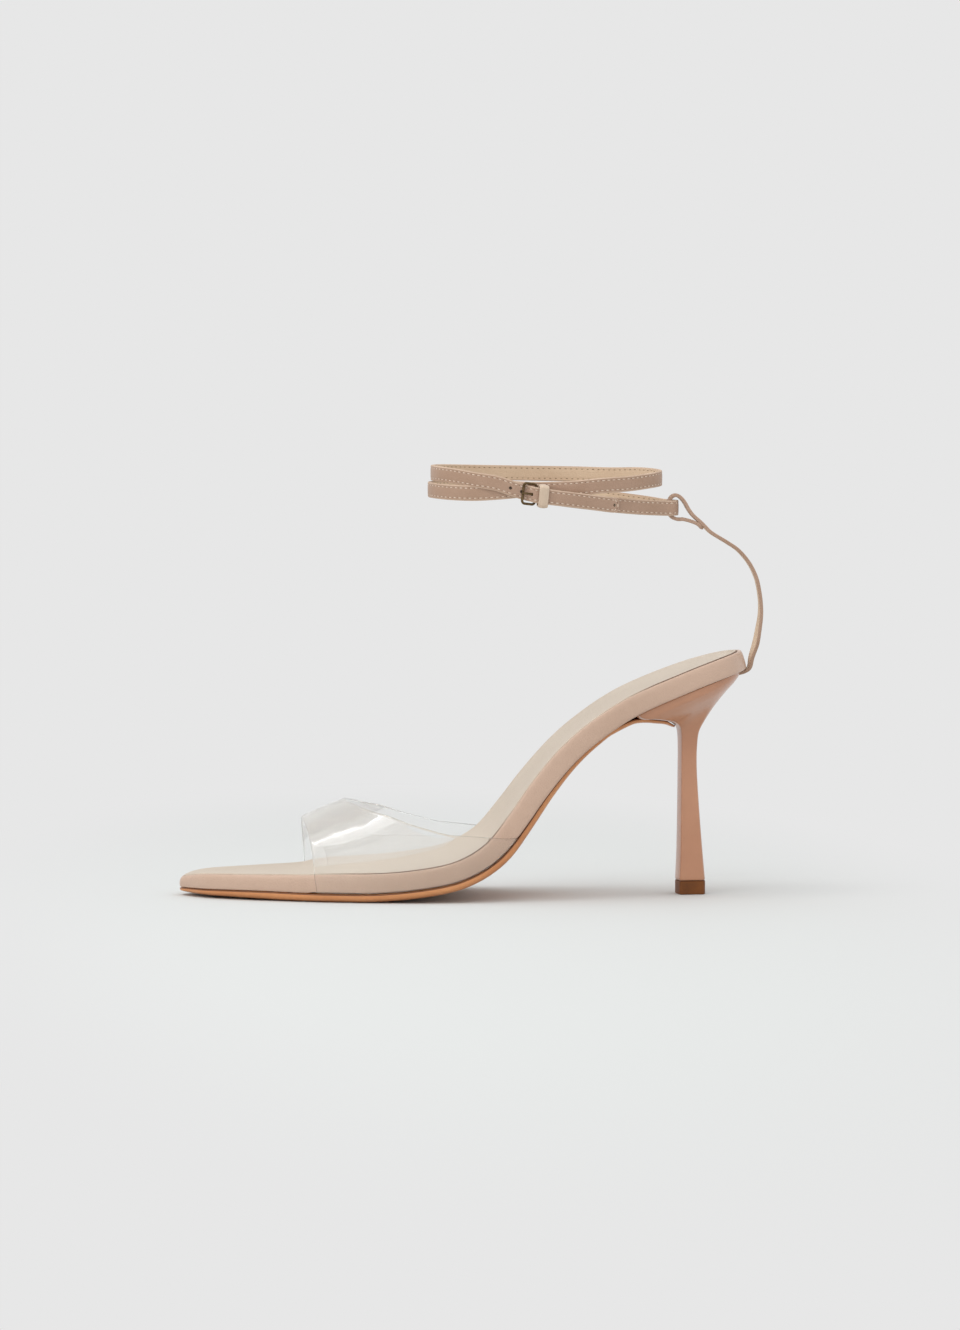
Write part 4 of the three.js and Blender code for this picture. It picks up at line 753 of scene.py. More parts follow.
# Outsole, which leaves the footbed and lies on the heel's breast
outsole = {
    "leaves": 0.755,
    "kept": [
        (0, 0.99), (0.5, 0.99), (0.62, 0.95), (0.72, 0.88), (0.8, 0.82),
        (0.88, 0.72), (0.93, 0.56), (0.975, 0.3), (1, 0.12),
    ],
    "substance": [
        (0, 0.48), (0.04, 0.74), (0.09, 0.86), (0.17, 1), (0.3, 1),
        (0.5, 1), (0.65, 0.86), (0.8, 0.6), (0.9, 0.46), (1, 0.28),
    ],
    "flat": 0.12,
    # Rings at the top of the edge that take the darker tone
    "darkTopRings": 3,
    "lift": 0.5,
}


def makeOutsoleFrame():
    leaves = outsole["leaves"] * footLength
    points = footFrame.place(np.arange(45) * leaves / 44, 0, -sole["gap"])[:, [0, 2]]
    breast = [flareEnds(row)[0] for row in heel["flare"][1:8][::-1]]
    ends = np.array([(p[0] - sole["gap"], p[2] - 1.6 * sole["gap"]) for p in breast])
    line = SmoothLine(np.vstack([points, ends]))
    distances = np.arange(leaves + 3, leaves + sole["tongue"] + 0.01, (sole["tongue"] - 3) / 6)
    kept = line.at(line.shareAt(np.minimum(distances, line.length)))
    return SideFrame(np.vstack([points, kept]))


def makeOutsole(material, darkTopEdge):
    along = makeOutsoleFrame()
    length = along.length
    rows = []
    for place, width, outer, inner in sole["outline"]:
        share = place * footLength / length
        if share > 0.97:
            break
        keep = float(readTable(outsole["kept"], 1, share))
        rows.append((share, width, outer * keep, inner * keep))
    end = outsole["kept"][-2][1]
    rows.append((0.985, sole["waistWidth"], 0.5 * end, 0.5 * end))
    sides = outlineSides(rows, length, sole["toeSwing"], 140)

    def substance(place):
        share = place / length
        thick = sole["tread"] * readTable(outsole["substance"], 1, np.clip(share, 0.0001, 0.9999))
        return np.where((share > 0.17) & (share < 0.5), sole["tread"], thick)

    def lift(place):
        leaves = outsole["leaves"] * footLength
        return outsole["lift"] * smoothStep(place, leaves - 9, leaves + 1)

    knots = [(5.0, -1), (3.4, -0.965), (2.0, -0.87), (0.9, -0.73), (0.3, -0.58), (0.05, -0.42),
             (0, -0.25), (0, -0.08), (0.06, 0)]
    rings = [(inward, lambda a, c, part=part: part * substance(a) + (1 + part) * lift(a))
             for inward, part in smoothProfile(knots, 20)]
    points, faces = slab(along, sides, rings, 8)
    ground = points[:, 2] < outsole["flat"]
    points[ground, 2] = np.maximum(points[ground, 2], 0)
    around = len(insetLoop(sides, 0))
    # The top rings of the edge take the darker tone
    marks = []
    for ring in range(len(rings) - 1):
        marks += [1 if ring >= len(rings) - 1 - outsole["darkTopRings"] else 0] * around
    marks += [0] * (len(faces) - len(marks))
    piece = addMesh("outsole_leather", points, faces, [material, darkTopEdge], marks)
    return finish(piece, "sole_leather", "outsole")


# The sole's leather and the darker tone on the top rings of its edge, next to the footbed, differ in tone alone
def makeSoleLeather(name, light, dark):
    return makePlain(name, {
        "light": light, "dark": dark, "drift": 35, "marks": 0.7,
        "scale": 900, "stretch": (0.12, 0.5, 1.6), "relief": 0.2, "depth": 0.0003,
        "surface": {"Roughness": 0.38, "Specular IOR Level": 0.45}})


# Straps, in millimetres. course: along, across, down, lifts over the turn below. rise: up, bow, twist.
# loop: back, up, whether the strap's end is stitched to it there.
strap = {
    "width": 6, "thickness": 1.3, "ankleLength": 92, "ankleWidth": 50, "ankleHeight": 167.7, "wrapDrop": 14.6,
    "foldThickness": 2.1, "foldLength": 3, "heelWidth": 5.4, "heelThickness": 1.4, "heelBow": 19.5, "tuck": 11,
    "stepsPerRow": 14, "stitchInset": 1.05, "groove": 0.07, "crown": 0.1,
    "holes": (2.6, 37.6, 42.4, 47.2), "holeRadius": 0.62, "holeSides": 20,
    "course": [
        (-0.092, -0.498, 0.569, 1.25), (-0.045, -0.495, 0.618, 1.42), (0.04, -0.48, 0.707, 1.25),
        (0.15, -0.41, 0.801, 1), (0.27, -0.3, 0.896, 1), (0.39, -0.19, 0.967, 0.7),
        (0.47, -0.128, 0.996, 0.3), (0.515, -0.096, 1.008, 0), (0.548, -0.072, 1.006, 0),
        (0.564, 0, 1, 0), (0.548, 0.072, 0.994, 0), (0.515, 0.096, 0.977, 0),
        (0.455, 0.15, 0.917, 0), (0.34, 0.265, 0.822, 0), (0.2, 0.39, 0.706, 0),
        (0.04, 0.47, 0.589, 0), (-0.14, 0.48, 0.513, 0), (-0.3, 0.41, 0.479, 0),
        (-0.42, 0.27, 0.476, 0), (-0.487, 0.11, 0.483, 0), (-0.502, -0.05, 0.497, 0),
        (-0.48, -0.2, 0.518, 0), (-0.415, -0.34, 0.55, 0), (-0.32, -0.44, 0.562, 0),
        (-0.21, -0.49, 0.52, 0), (-0.11, -0.499, 0.465, 0), (-0.02, -0.49, 0.463, -0.5),
        (0.1, -0.457, 0.435, 0.15), (0.22, -0.42, 0.367, 0), (0.34, -0.33, 0.324, 0),
        (0.44, -0.195, 0.252, 0), (0.49, -0.04, 0.204, 0), (0.485, 0.12, 0.169, 0),
        (0.42, 0.29, 0.135, 0), (0.3, 0.405, 0.144, 0), (0.15, 0.48, 0.123, 0),
        (-0.03, 0.51, 0.105, 0), (-0.2, 0.475, 0.083, 0), (-0.345, 0.37, 0.058, 0),
        (-0.447, 0.21, 0.037, 0), (-0.488, 0.03, 0.042, 0), (-0.472, -0.16, 0.059, 0),
        (-0.4, -0.32, 0.113, 0.3), (-0.31, -0.42, 0.207, 1), (-0.23, -0.475, 0.292, 1.05),
        (-0.175, -0.493, 0.41, 1), (-0.13, -0.497, 0.503, 1), (-0.106, -0.498, 0.545, 1.22),
        (-0.09, -0.498, 0.57, 1.98), (-0.076, -0.498, 0.596, 2.48), (-0.05, -0.496, 0.627, 2.58),
        (-0.01, -0.49, 0.668, 2.5), (0.07, -0.46, 0.73, 2.25), (0.17, -0.395, 0.82, 2.1),
        (0.245, -0.328, 0.887, 2.1), (0.28, -0.292, 0.914, 2.1),
    ],
    "rise": [
        (0.066, 0.19, 8), (0.154, 0.405, 14), (0.240, 0.58, 10), (0.327, 0.745, 5),
        (0.407, 0.86, 1), (0.485, 0.94, 0), (0.558, 0.99, 0), (0.628, 0.99, 0),
        (0.683, 0.95, 0), (0.739, 0.86, 0), (0.781, 0.72, 0),
    ],
    "loop": [
        (2.2, -1.6, 0), (1.87, -1.27, 1), (1.53, -0.93, 1), (1.05, -0.5, 0),
        (0.74, -0.08, 0), (0.53, 0.3, 0), (0.33, 0.57, 0), (0.12, 0.75, 0),
        (-0.1, 0.82, 0), (-0.31, 0.75, 0), (-0.48, 0.54, 0), (-0.55, 0.2, 0),
        (-0.53, -0.18, 0), (-0.4, -0.56, 0), (0, -0.76, 0), (0.46, -0.78, 0),
    ],
}
ankleMiddle = 0.6445 * sole["reach"]

makeHeel(makePlain("heelLacquer", lacquer))
makeHeelTip(makePlain("heelTipRubber", tipRubber))
# The outsole, with a darker tone on its edge's top rings
makeOutsole(makeSoleLeather("soleLeather", "#d0915f", "#be7d4e"),
            makeSoleLeather("darkTopEdge", "#7d4a2a", "#5f3820"))
print("heel and outsole made")


# Clear vamp: stations round the foot, from the outer tuck over the crown to the inner tuck.
# edges: share of the way down, front edge outside and inside, rear edge. crown: along, share of the rise.
vamp = {
    "thickness": 0.9, "margin": 6, "rise": 19.4, "power": 2.2, "archSteps": 48, "steps": 26,
    "edges": [
        (0, 0.187, 0.187, 0.257), (0.2, 0.188, 0.1875, 0.2625), (0.36, 0.191, 0.189, 0.2805),
        (0.47, 0.193, 0.19, 0.301), (0.575, 0.195, 0.1915, 0.329), (0.667, 0.197, 0.193, 0.355),
        (0.741, 0.198, 0.194, 0.381), (0.833, 0.2, 0.1955, 0.425), (0.918, 0.201, 0.1965, 0.478),
        (1, 0.202, 0.1975, 0.516),
    ],
    "feather": {"outer": 0.206, "inner": 0.2, "rear": 0.54},
    "crown": [
        (0.1, 0.6), (0.187, 1.055), (0.222, 1.24), (0.257, 1.4),
        (0.32, 1.7), (0.4, 2.05), (0.5, 2.45), (0.58, 2.7),
    ],
}


def vampStations():
    half = vamp["thickness"] / 2
    clear = sole["gap"] + half
    last = vamp["edges"][-1]

    def sideStations(side):
        name = "outer" if side < 0 else "inner"
        feather = (vamp["feather"][name], vamp["feather"]["rear"])
        middle = ((last[1 if side < 0 else 2] + feather[0]) / 2, (last[3] + feather[1]) / 2)
        return [
            (feather, lambda s: (edgeAt(side, s) - side * vamp["margin"], 0.1 + 0 * s)),
            (feather, lambda s: (edgeAt(side, s) - side * vamp["margin"] / 3, 0.1 + 0 * s)),
            (feather, lambda s: (edgeAt(side, s) + side * (clear - 0.4 * half), 0.12 + 0 * s)),
            (feather, lambda s: (edgeAt(side, s) + side * clear, 1.4 * half + 0 * s)),
            (middle, lambda s: (edgeAt(side, s) + side * clear, topAt(s, edgeAt(side, s)) / 2)),
        ]

    arch = []
    for i in range(vamp["archSteps"] + 1):
        signed = 2 * i / vamp["archSteps"] - 1
        turned = abs(signed)
        side = -1 if signed < 0 else 1
        column = 1 if side < 0 else 2
        edge = tuple(float(readTable(vamp["edges"], k, min(turned, 0.9999))) for k in (column, 3))
        spread = math.sin(turned * math.pi / 2) ** (2 / vamp["power"])
        height = max(math.cos(turned * math.pi / 2), 0) ** (2 / vamp["power"])

        def spot(s, side=side, spread=spread, height=height):
            crown = (edgeAt(-1, s) + edgeAt(1, s)) / 2
            reach = edgeAt(side, s) + side * clear - crown
            rise = vamp["rise"] * readTable(vamp["crown"], 1, s / footLength)
            return crown + reach * spread, topAt(s, -sole["ballWidth"] / 2) + rise * height

        arch.append((edge, spot))
    return sideStations(-1) + arch + sideStations(1)[::-1]


def makeVamp(material):
    stations = vampStations()
    share = np.linspace(0, 1, vamp["steps"] + 1)
    half = vamp["thickness"] / 2
    faces3d = {-1: [], 1: []}
    for i, (edge, spot) in enumerate(stations):
        along = footLength * (edge[0] + (edge[1] - edge[0]) * share)
        here = np.stack(spot(along), axis=1)
        before = np.stack(stations[max(i - 1, 0)][1](along), axis=1)
        after = np.stack(stations[min(i + 1, len(stations) - 1)][1](along), axis=1)
        run = unit(after - before)
        tucked = min(i, len(stations) - 1 - i)
        wall = half * (0.45, 0.45, 0.5, 0.85)[tucked] if tucked < 4 else half
        for side in (-1, 1):
            across = here[:, 0] - run[:, 1] * wall * side
            height = here[:, 1] + run[:, 0] * wall * side
            faces3d[side].append(footFrame.place(along, across, height))
    inside, outside = (np.array(faces3d[side]) for side in (-1, 1))
    rows, columns = inside.shape[:2]
    points = np.vstack([inside.reshape(-1, 3), outside.reshape(-1, 3)])
    faces = gridFaces(rows, columns) + gridFaces(rows, columns, start=rows * columns)
    offset = rows * columns
    rim = [r * columns for r in range(rows)] + [(rows - 1) * columns + c for c in range(1, columns)]
    rim += [r * columns + columns - 1 for r in range(rows - 2, -1, -1)] + list(range(columns - 2, 0, -1))
    for a, b in zip(rim, rim[1:] + rim[:1]):
        faces.append((a, b, b + offset, a + offset))
    piece = addMesh("vamp_clear", points + shift, faces, [material])
    return finish(subdivide(piece, 1), "clear_vinyl", "upper")


# Clear plastic: part of it lets the light straight through, all of it in shadows
vinyl = {
    "surface": {"Base Color": (0.97, 0.975, 0.97, 1), "Roughness": 0.025, "IOR": 1.5, "Transmission Weight": 1.0},
    "scale": 45, "detail": 1, "relief": 0.06, "depth": 0.004, "pane": (0.99, 0.992, 0.99, 1), "through": 0.5,
}


def makeVinyl():
    material, nodes, links, surface = newMaterial("clearVinyl", vinyl["surface"])
    addNoiseBump(material, surface, nodes.new("ShaderNodeTexCoord").outputs["Object"], vinyl)
    path = nodes.new("ShaderNodeLightPath")
    pane = nodes.new("ShaderNodeBsdfTransparent")
    pane.inputs["Color"].default_value = vinyl["pane"]
    mix = nodes.new("ShaderNodeMixShader")
    clear = addMath(material.node_tree, "MAXIMUM", path.outputs["Is Shadow Ray"], vinyl["through"])
    links.new(clear, mix.inputs[0])
    links.new(surface.outputs[0], mix.inputs[1])
    links.new(pane.outputs[0], mix.inputs[2])
    links.new(mix.outputs[0], nodes["Material Output"].inputs["Surface"])
    return material


makeVamp(makeVinyl())
print("vamp made")


# Section of a lined strap: width and thickness shares, with edge seams and stitch grooves
def strapSection(width, thickness):
    w, t = width / 2, thickness / 2
    groove = w - strap["stitchInset"]
    top = []
    for a in (-w + 0.42, -groove - 0.32, -groove, -groove + 0.32, -w * 0.3, 0, w * 0.3,
              groove - 0.32, groove, groove + 0.32, w - 0.42):
        dent = strap["groove"] if abs(abs(a) - groove) < 0.01 else 0
        top.append((a, t + strap["crown"] * (1 - (a / w) ** 2) - strap["crown"] - dent + 0.03))
    edge = [(w - 0.14, t * 0.86), (w - 0.02, t * 0.55), (w, t * 0.2), (w - 0.07, 0), (w, -t * 0.2),
            (w - 0.02, -t * 0.6), (w - 0.14, -t * 0.9)]
    bottom = [(a, -t + (strap["groove"] if abs(abs(a) - groove) < 0.01 else 0)) for a, _ in top[::-1]]
    back = [(-a, b) for a, b in edge[::-1]]
    return np.array(top + edge + bottom + back), (len(top), len(edge))


# A lined strap swept along points, with its width direction, and marks for outer face, lining and edge
def sweepStrap(name, points, tangents, wide, widths, thicks, outward, materials):
    across = unit(wide - tangents * np.sum(wide * tangents, axis=1, keepdims=True))
    thick = np.cross(tangents, across)
    if np.sum(thick * outward) < 0:
        thick = -thick
    grid = []
    fullWidth, fullThick = np.max(widths), np.median(thicks)
    section, (topCount, edgeCount) = strapSection(fullWidth, fullThick)
    for p, a, n, w, t in zip(points, across, thick, widths, thicks):
        shape = section * [w / fullWidth, t / fullThick]
        grid.append(p + shape[:, :1] * a + shape[:, 1:] * n)
    rows, columns = len(grid), len(section)
    kinds = []
    for c in range(columns):
        if c < topCount - 1:
            kinds.append(0)
        elif topCount + edgeCount - 1 < c < 2 * topCount + edgeCount - 1:
            kinds.append(1)
        else:
            kinds.append(2)
    marks = kinds * (rows - 1) + [2] * (2 * columns)
    distance = runLength(points)
    uv = np.stack(np.meshgrid(distance, runLength(section), indexing="ij"), axis=-1).reshape(-1, 2)
    uv = np.vstack([uv, [[distance[0], 0], [distance[-1], 0]]])
    flat, faces = closedRings(grid)
    piece = addMesh(name, flat + shift, faces, materials, marks, uv)
    return piece, across, thick


# The ankle strap's middle line
def ankleLine():
    course = np.array(strap["course"])
    plan = np.stack([ankleMiddle + course[:, 0] * strap["ankleLength"], course[:, 1] * strap["ankleWidth"],
                     strap["ankleHeight"] - course[:, 2] * strap["wrapDrop"]], axis=1)
    before = np.vstack([plan[:1], plan[:-1]])
    after = np.vstack([plan[1:], plan[-1:]])
    run = unit((after - before) * [1, 1, 0])
    outward = np.stack([run[:, 1], -run[:, 0], 0 * run[:, 0]], axis=1)
    return SmoothLine(plan + outward * course[:, 3:4] * (strap["thickness"] + sole["gap"]))


ankle = ankleLine()
ankleRows = len(strap["course"]) - 1


# Thickness beside the buckle, where the strap folds back on itself round a blunt nose
def foldedThickness(distance):
    nose = strap["foldThickness"] / 2
    blunt = 2 * np.sqrt(np.maximum(nose ** 2 - np.maximum(nose - distance, 0) ** 2, 0.02))
    single = smoothStep(distance, strap["foldLength"], strap["foldLength"] + 0.8)
    return np.minimum(blunt, strap["foldThickness"] + (strap["thickness"] - strap["foldThickness"]) * single)


def makeAnkleStrap():
    nose = np.linspace(0, 1, 26) ** 1.6
    body = np.linspace(1, ankleRows - 1, (ankleRows - 2) * strap["stepsPerRow"])[1:]
    tip = ankleRows - np.linspace(1, 0, 22)[1:] ** 2.2
    places = np.concatenate([nose, body, tip]) / ankleRows
    points, tangents = ankle.at(places), ankle.direction(places)
    fromStart = np.linalg.norm(points - points[0], axis=1)
    fromEnd = np.linalg.norm(points - points[-1], axis=1)
    thicks = np.full(len(points), float(strap["thickness"]))
    buckled = places * ankleRows < 4
    thicks[buckled] = foldedThickness(fromStart[buckled])
    share = np.clip((fromEnd + 0.06) / (strap["width"] / 2), 0, 1)
    widths = strap["width"] * np.where(places * ankleRows > ankleRows - 2, np.sqrt(1 - (1 - share) ** 2), 1)
    thicks = np.where(places * ankleRows > ankleRows - 1, np.minimum(thicks, 0.5 + 1.2 * fromEnd), thicks)
    wide = np.tile([0.0, 0.0, 1.0], (len(points), 1))
    outward = np.stack([tangents[:, 1], -tangents[:, 0], 0 * tangents[:, 0]], axis=1)
    materials = [leather["strapLeather"], leather["strapLining"], leather["strapEdge"]]
    piece, across, thick = sweepStrap(
        "ankle_strap_leather", points, tangents, wide, widths, thicks, outward, materials)
    punch(piece, points, thick)
    finish(piece, "leather", "ankle_strap")
    return points, across, thick, widths, thicks


# Holes through the strap at distances from its free end
def punch(piece, points, thick):
    fromTip = runLength(points[::-1])
    cutPoints, cutFaces = [], []
    angle = np.linspace(0, 2 * np.pi, strap["holeSides"], endpoint=False)
    for distance in strap["holes"]:
        i = len(points) - 1 - int(np.argmin(abs(fromTip - distance)))
        axis = thick[i]
        through = axis * strap["thickness"]
        u = unit(np.cross(axis, [0.0, 0.0, 1.0]))
        v = np.cross(axis, u)
        ring = strap["holeRadius"] * (np.cos(angle)[:, None] * u + np.sin(angle)[:, None] * v)
        start, sides = len(cutPoints), len(angle)
        cutPoints += list(points[i] + ring - through) + list(points[i] + ring + through)
        cutFaces += [(start + s, start + (s + 1) % sides, start + sides + (s + 1) % sides, start + sides + s)
                     for s in range(sides)]
        cutFaces += [tuple(start + s for s in range(sides)), tuple(start + sides + s for s in range(sides))]
    # The hole walls take the same dark material: painted shade inside the holes
    cutter = addMesh("holeCutter", np.array(cutPoints) + shift, cutFaces, [leather["edgeAndHoleShade"]])
    modifier = piece.modifiers.new("holes", "BOOLEAN")
    modifier.operation = "DIFFERENCE"
    modifier.solver = "EXACT"
    modifier.object = cutter
    modifier.material_mode = "TRANSFER"
    modifier.use_self = True
    bpy.context.view_layer.update()
    cut = bpy.data.meshes.new_from_object(piece.evaluated_get(bpy.context.evaluated_depsgraph_get()))
    piece.modifiers.clear()
    piece.data = cut
    cut.set_sharp_from_angle(angle=math.radians(50))
    bpy.data.objects.remove(cutter)


# Rows of stitches: a tree that lays short threads along a line
def makeStitchTree():
    tree = bpy.data.node_groups.new("stitchRow", "GeometryNodeTree")
    tree.interface.new_socket(name="Geometry", in_out="INPUT", socket_type="NodeSocketGeometry")
    for label in ("Pitch", "Stitch Length", "Thread"):
        tree.interface.new_socket(name=label, in_out="INPUT", socket_type="NodeSocketFloat")
    tree.interface.new_socket(name="Material", in_out="INPUT", socket_type="NodeSocketMaterial")
    tree.interface.new_socket(name="Geometry", in_out="OUTPUT", socket_type="NodeSocketGeometry")
    nodes, links = tree.nodes, tree.links
    given, result = nodes.new("NodeGroupInput"), nodes.new("NodeGroupOutput")
    toCurve = nodes.new("GeometryNodeMeshToCurve")
    spread = nodes.new("GeometryNodeResampleCurve")
    spread.mode = "LENGTH"
    links.new(given.outputs["Geometry"], toCurve.inputs["Mesh"])
    links.new(toCurve.outputs["Curve"], spread.inputs["Curve"])
    links.new(given.outputs["Pitch"], spread.inputs["Length"])
    thread = nodes.new("GeometryNodeMeshUVSphere")
    thread.inputs["Segments"].default_value = 6
    thread.inputs["Rings"].default_value = 5
    thread.inputs["Radius"].default_value = 1.0
    size = nodes.new("ShaderNodeCombineXYZ")
    links.new(addMath(tree, "MULTIPLY", given.outputs["Stitch Length"], 0.5), size.inputs[0])
    links.new(given.outputs["Thread"], size.inputs[1])
    links.new(given.outputs["Thread"], size.inputs[2])
    stretch = nodes.new("GeometryNodeTransform")
    links.new(thread.outputs["Mesh"], stretch.inputs["Geometry"])
    links.new(size.outputs[0], stretch.inputs["Scale"])
    tangent = nodes.new("GeometryNodeInputTangent")
    align = nodes.new("FunctionNodeAlignRotationToVector")
    align.axis = "X"
    links.new(tangent.outputs[0], align.inputs["Vector"])
    instances = nodes.new("GeometryNodeInstanceOnPoints")
    links.new(spread.outputs["Curve"], instances.inputs["Points"])
    links.new(stretch.outputs["Geometry"], instances.inputs["Instance"])
    links.new(align.outputs["Rotation"], instances.inputs["Rotation"])
    real = nodes.new("GeometryNodeRealizeInstances")
    paint = nodes.new("GeometryNodeSetMaterial")
    soft = nodes.new("GeometryNodeSetShadeSmooth")
    links.new(instances.outputs["Instances"], real.inputs["Geometry"])
    links.new(real.outputs["Geometry"], soft.inputs["Geometry"])
    links.new(soft.outputs["Geometry"], paint.inputs["Geometry"])
    links.new(given.outputs["Material"], paint.inputs["Material"])
    links.new(paint.outputs["Geometry"], result.inputs["Geometry"])
    return tree


# hole and holeThread size the dark beads of painted shade in the needle holes
stitch = {"pitch": 2.2, "length": 1.55, "thread": 0.24, "hole": 0.72, "holeThread": 0.25, "proud": 0.1}
stitchTree = makeStitchTree()


def makeThread(name, light, dark):
    return makePlain(name, {
        "light": light, "dark": dark, "drift": 300, "marks": 0.8, "scale": 6000, "relief": 0.4, "depth": 0.0001,
        "surface": {"Roughness": 0.7, "Specular IOR Level": 0.3}})


outerThread = makeThread("outerThread", "#e6d8c6", "#d2bfaa")
# The lining's stitches are coloured dark: painted shade on threads sunk into the lining
shadedLiningThread = makeThread("shadedLiningThread", "#7a6047", "#5c4630")
# Dark beads in the needle holes: painted shade
needleHoleShade = makeThread("needleHoleShade", "#5b4436", "#432f24")


# Stitches along several rows of points, as one plain mesh
def makeStitches(name, rows, material, length, thread):
    points, edges = [], []
    for row in rows:
        start = len(points)
        points += [tuple((np.array(p) + shift) * 0.001) for p in row]
        edges += [(start + i, start + i + 1) for i in range(len(row) - 1)]
    mesh = bpy.data.meshes.new(name)
    mesh.from_pydata(points, edges, [])
    path = bpy.data.objects.new(name, mesh)
    bpy.context.scene.collection.objects.link(path)
    modifier = path.modifiers.new("stitches", "NODES")
    values = {"Pitch": stitch["pitch"] * 0.001, "Stitch Length": length * 0.001,
              "Thread": thread * 0.001, "Material": material}
    sockets = {item.name: item.identifier for item in stitchTree.interface.items_tree if item.in_out == "INPUT"}
    modifier.node_group = stitchTree
    for label, value in values.items():
        modifier[sockets[label]] = value
    bpy.context.view_layer.update()
    graph = bpy.context.evaluated_depsgraph_get()
    solid = bpy.data.meshes.new_from_object(path.evaluated_get(graph))
    path.modifiers.clear()
    path.data = solid
    return finish(path, "leather")


ankleParts = makeAnkleStrap()


# Rows of points beside both edges, on the outer face (1) or the lining (-1)
def stitchRows(parts, face, start, end, inset, thread, proud):
    points, across, thick, widths, thicks = parts
    distance = runLength(points)
    keep = (distance > start) & (distance < distance[-1] - end)
    lift = face * (thicks / 2 - strap["groove"] + proud - thread)
    rows = []
    for side in (-1, 1):
        reach = side * (widths / 2 - inset)
        rows.append((points + across * reach[:, None] + thick * lift[:, None])[keep])
    return rows


# A row round the strap's free end, a whole number of pitches long, lifted where the strap has no groove
def tipRow(parts, face, inset, thread, proud, pitches):
    points, across, thick = parts[:3]
    distance = runLength(points)
    reach = strap["width"] / 2 - inset
    half = pitches * stitch["pitch"] / reach / 2
    angle = np.linspace(-half, half, 24)
    spots = distance[-1] - strap["width"] / 2 + reach * np.cos(angle)
    nearest = np.clip(np.searchsorted(distance, spots), 0, len(points) - 1)
    middle = np.stack([np.interp(spots, distance, points[:, k]) for k in range(3)], axis=1)
    lift = face * (strap["thickness"] / 2 + proud - thread - strap["groove"] * (1 - 2 * np.cos(angle)))
    return middle + across[nearest] * (reach * np.sin(angle))[:, None] + thick[nearest] * lift[:, None]


# Both faces' stitches of one strap, with dark beads of painted shade for the needle holes between the outer threads
def stitchStrap(name, parts, start, end, inset, proud, rounded=False):
    thread, holeThread, shiftHalf = stitch["thread"], stitch["holeThread"], stitch["pitch"] / 2
    outer = stitchRows(parts, 1, start, end, inset, thread, proud)
    if rounded:
        outer.append(tipRow(parts, 1, inset, thread, proud, 2))
    makeStitches(name + "_stitches", outer, outerThread, stitch["length"], thread)
    # The needle holes are dark beads of painted shade
    holes = stitchRows(parts, 1, start + shiftHalf, end + shiftHalf, inset, holeThread, proud * 0.6)
    if rounded:
        holes.append(tipRow(parts, 1, inset, holeThread, proud * 0.6, 1))
    makeStitches(name + "_needle_hole_shade", holes, needleHoleShade, stitch["hole"], holeThread)
    # The lining's stitches take the dark thread of painted shade
    lining = stitchRows(parts, -1, start, end, inset, thread, proud)
    makeStitches(name + "_lining_stitches", lining, shadedLiningThread, stitch["length"] * 0.85, thread)


stitchStrap("ankle_strap", ankleParts, 3.5, 3.2, strap["stitchInset"], stitch["proud"], rounded=True)
print("ankle strap made")


# Heel strap: tucked at the seat, up behind the heel and looped round the ankle strap
def heelStrapCourse():
    seatBack = np.array([sole["reach"], 0, rest + sole["seatRise"]])
    low = [row for row in strap["course"] if row[2] > 0.9]
    turnRow = max(low, key=lambda row: row[0])
    turn = np.array([ankleMiddle + turnRow[0] * strap["ankleLength"], 0,
                     strap["ankleHeight"] - turnRow[2] * strap["wrapDrop"]])
    depth = sole["gap"] + strap["heelThickness"] / 2
    lefts = (strap["tuck"], 0.55 * strap["tuck"], 1)
    points = [footFrame.place([footLength - left], 0, -depth)[0] for left in lefts]
    points.append(footFrame.place([footLength + 1], 0, -0.1 * depth)[0])
    twists = [0, 0, 0, 2]
    for up, bow, twist in strap["rise"]:
        point = seatBack + (turn - seatBack) * up
        point[0] += bow * strap["heelBow"]
        points.append(point)
        twists.append(twist)
    loopStart = len(points)
    for back, up, _ in strap["loop"]:
        points.append(turn + np.array([back, 0, up]) * strap["width"])
        twists.append(0)
    single = SmoothLine(points)
    ends = []
    for i, (_, _, stitched) in enumerate(strap["loop"]):
        if stitched:
            tangent = single.direction((loopStart + i) / (len(points) - 1))[0]
            aside = np.array([-tangent[2], 0, tangent[0]]) * 0.96 * strap["heelThickness"]
            ends.insert(0, points[loopStart + i] + aside)
    return points + ends, twists + [0] * len(ends)


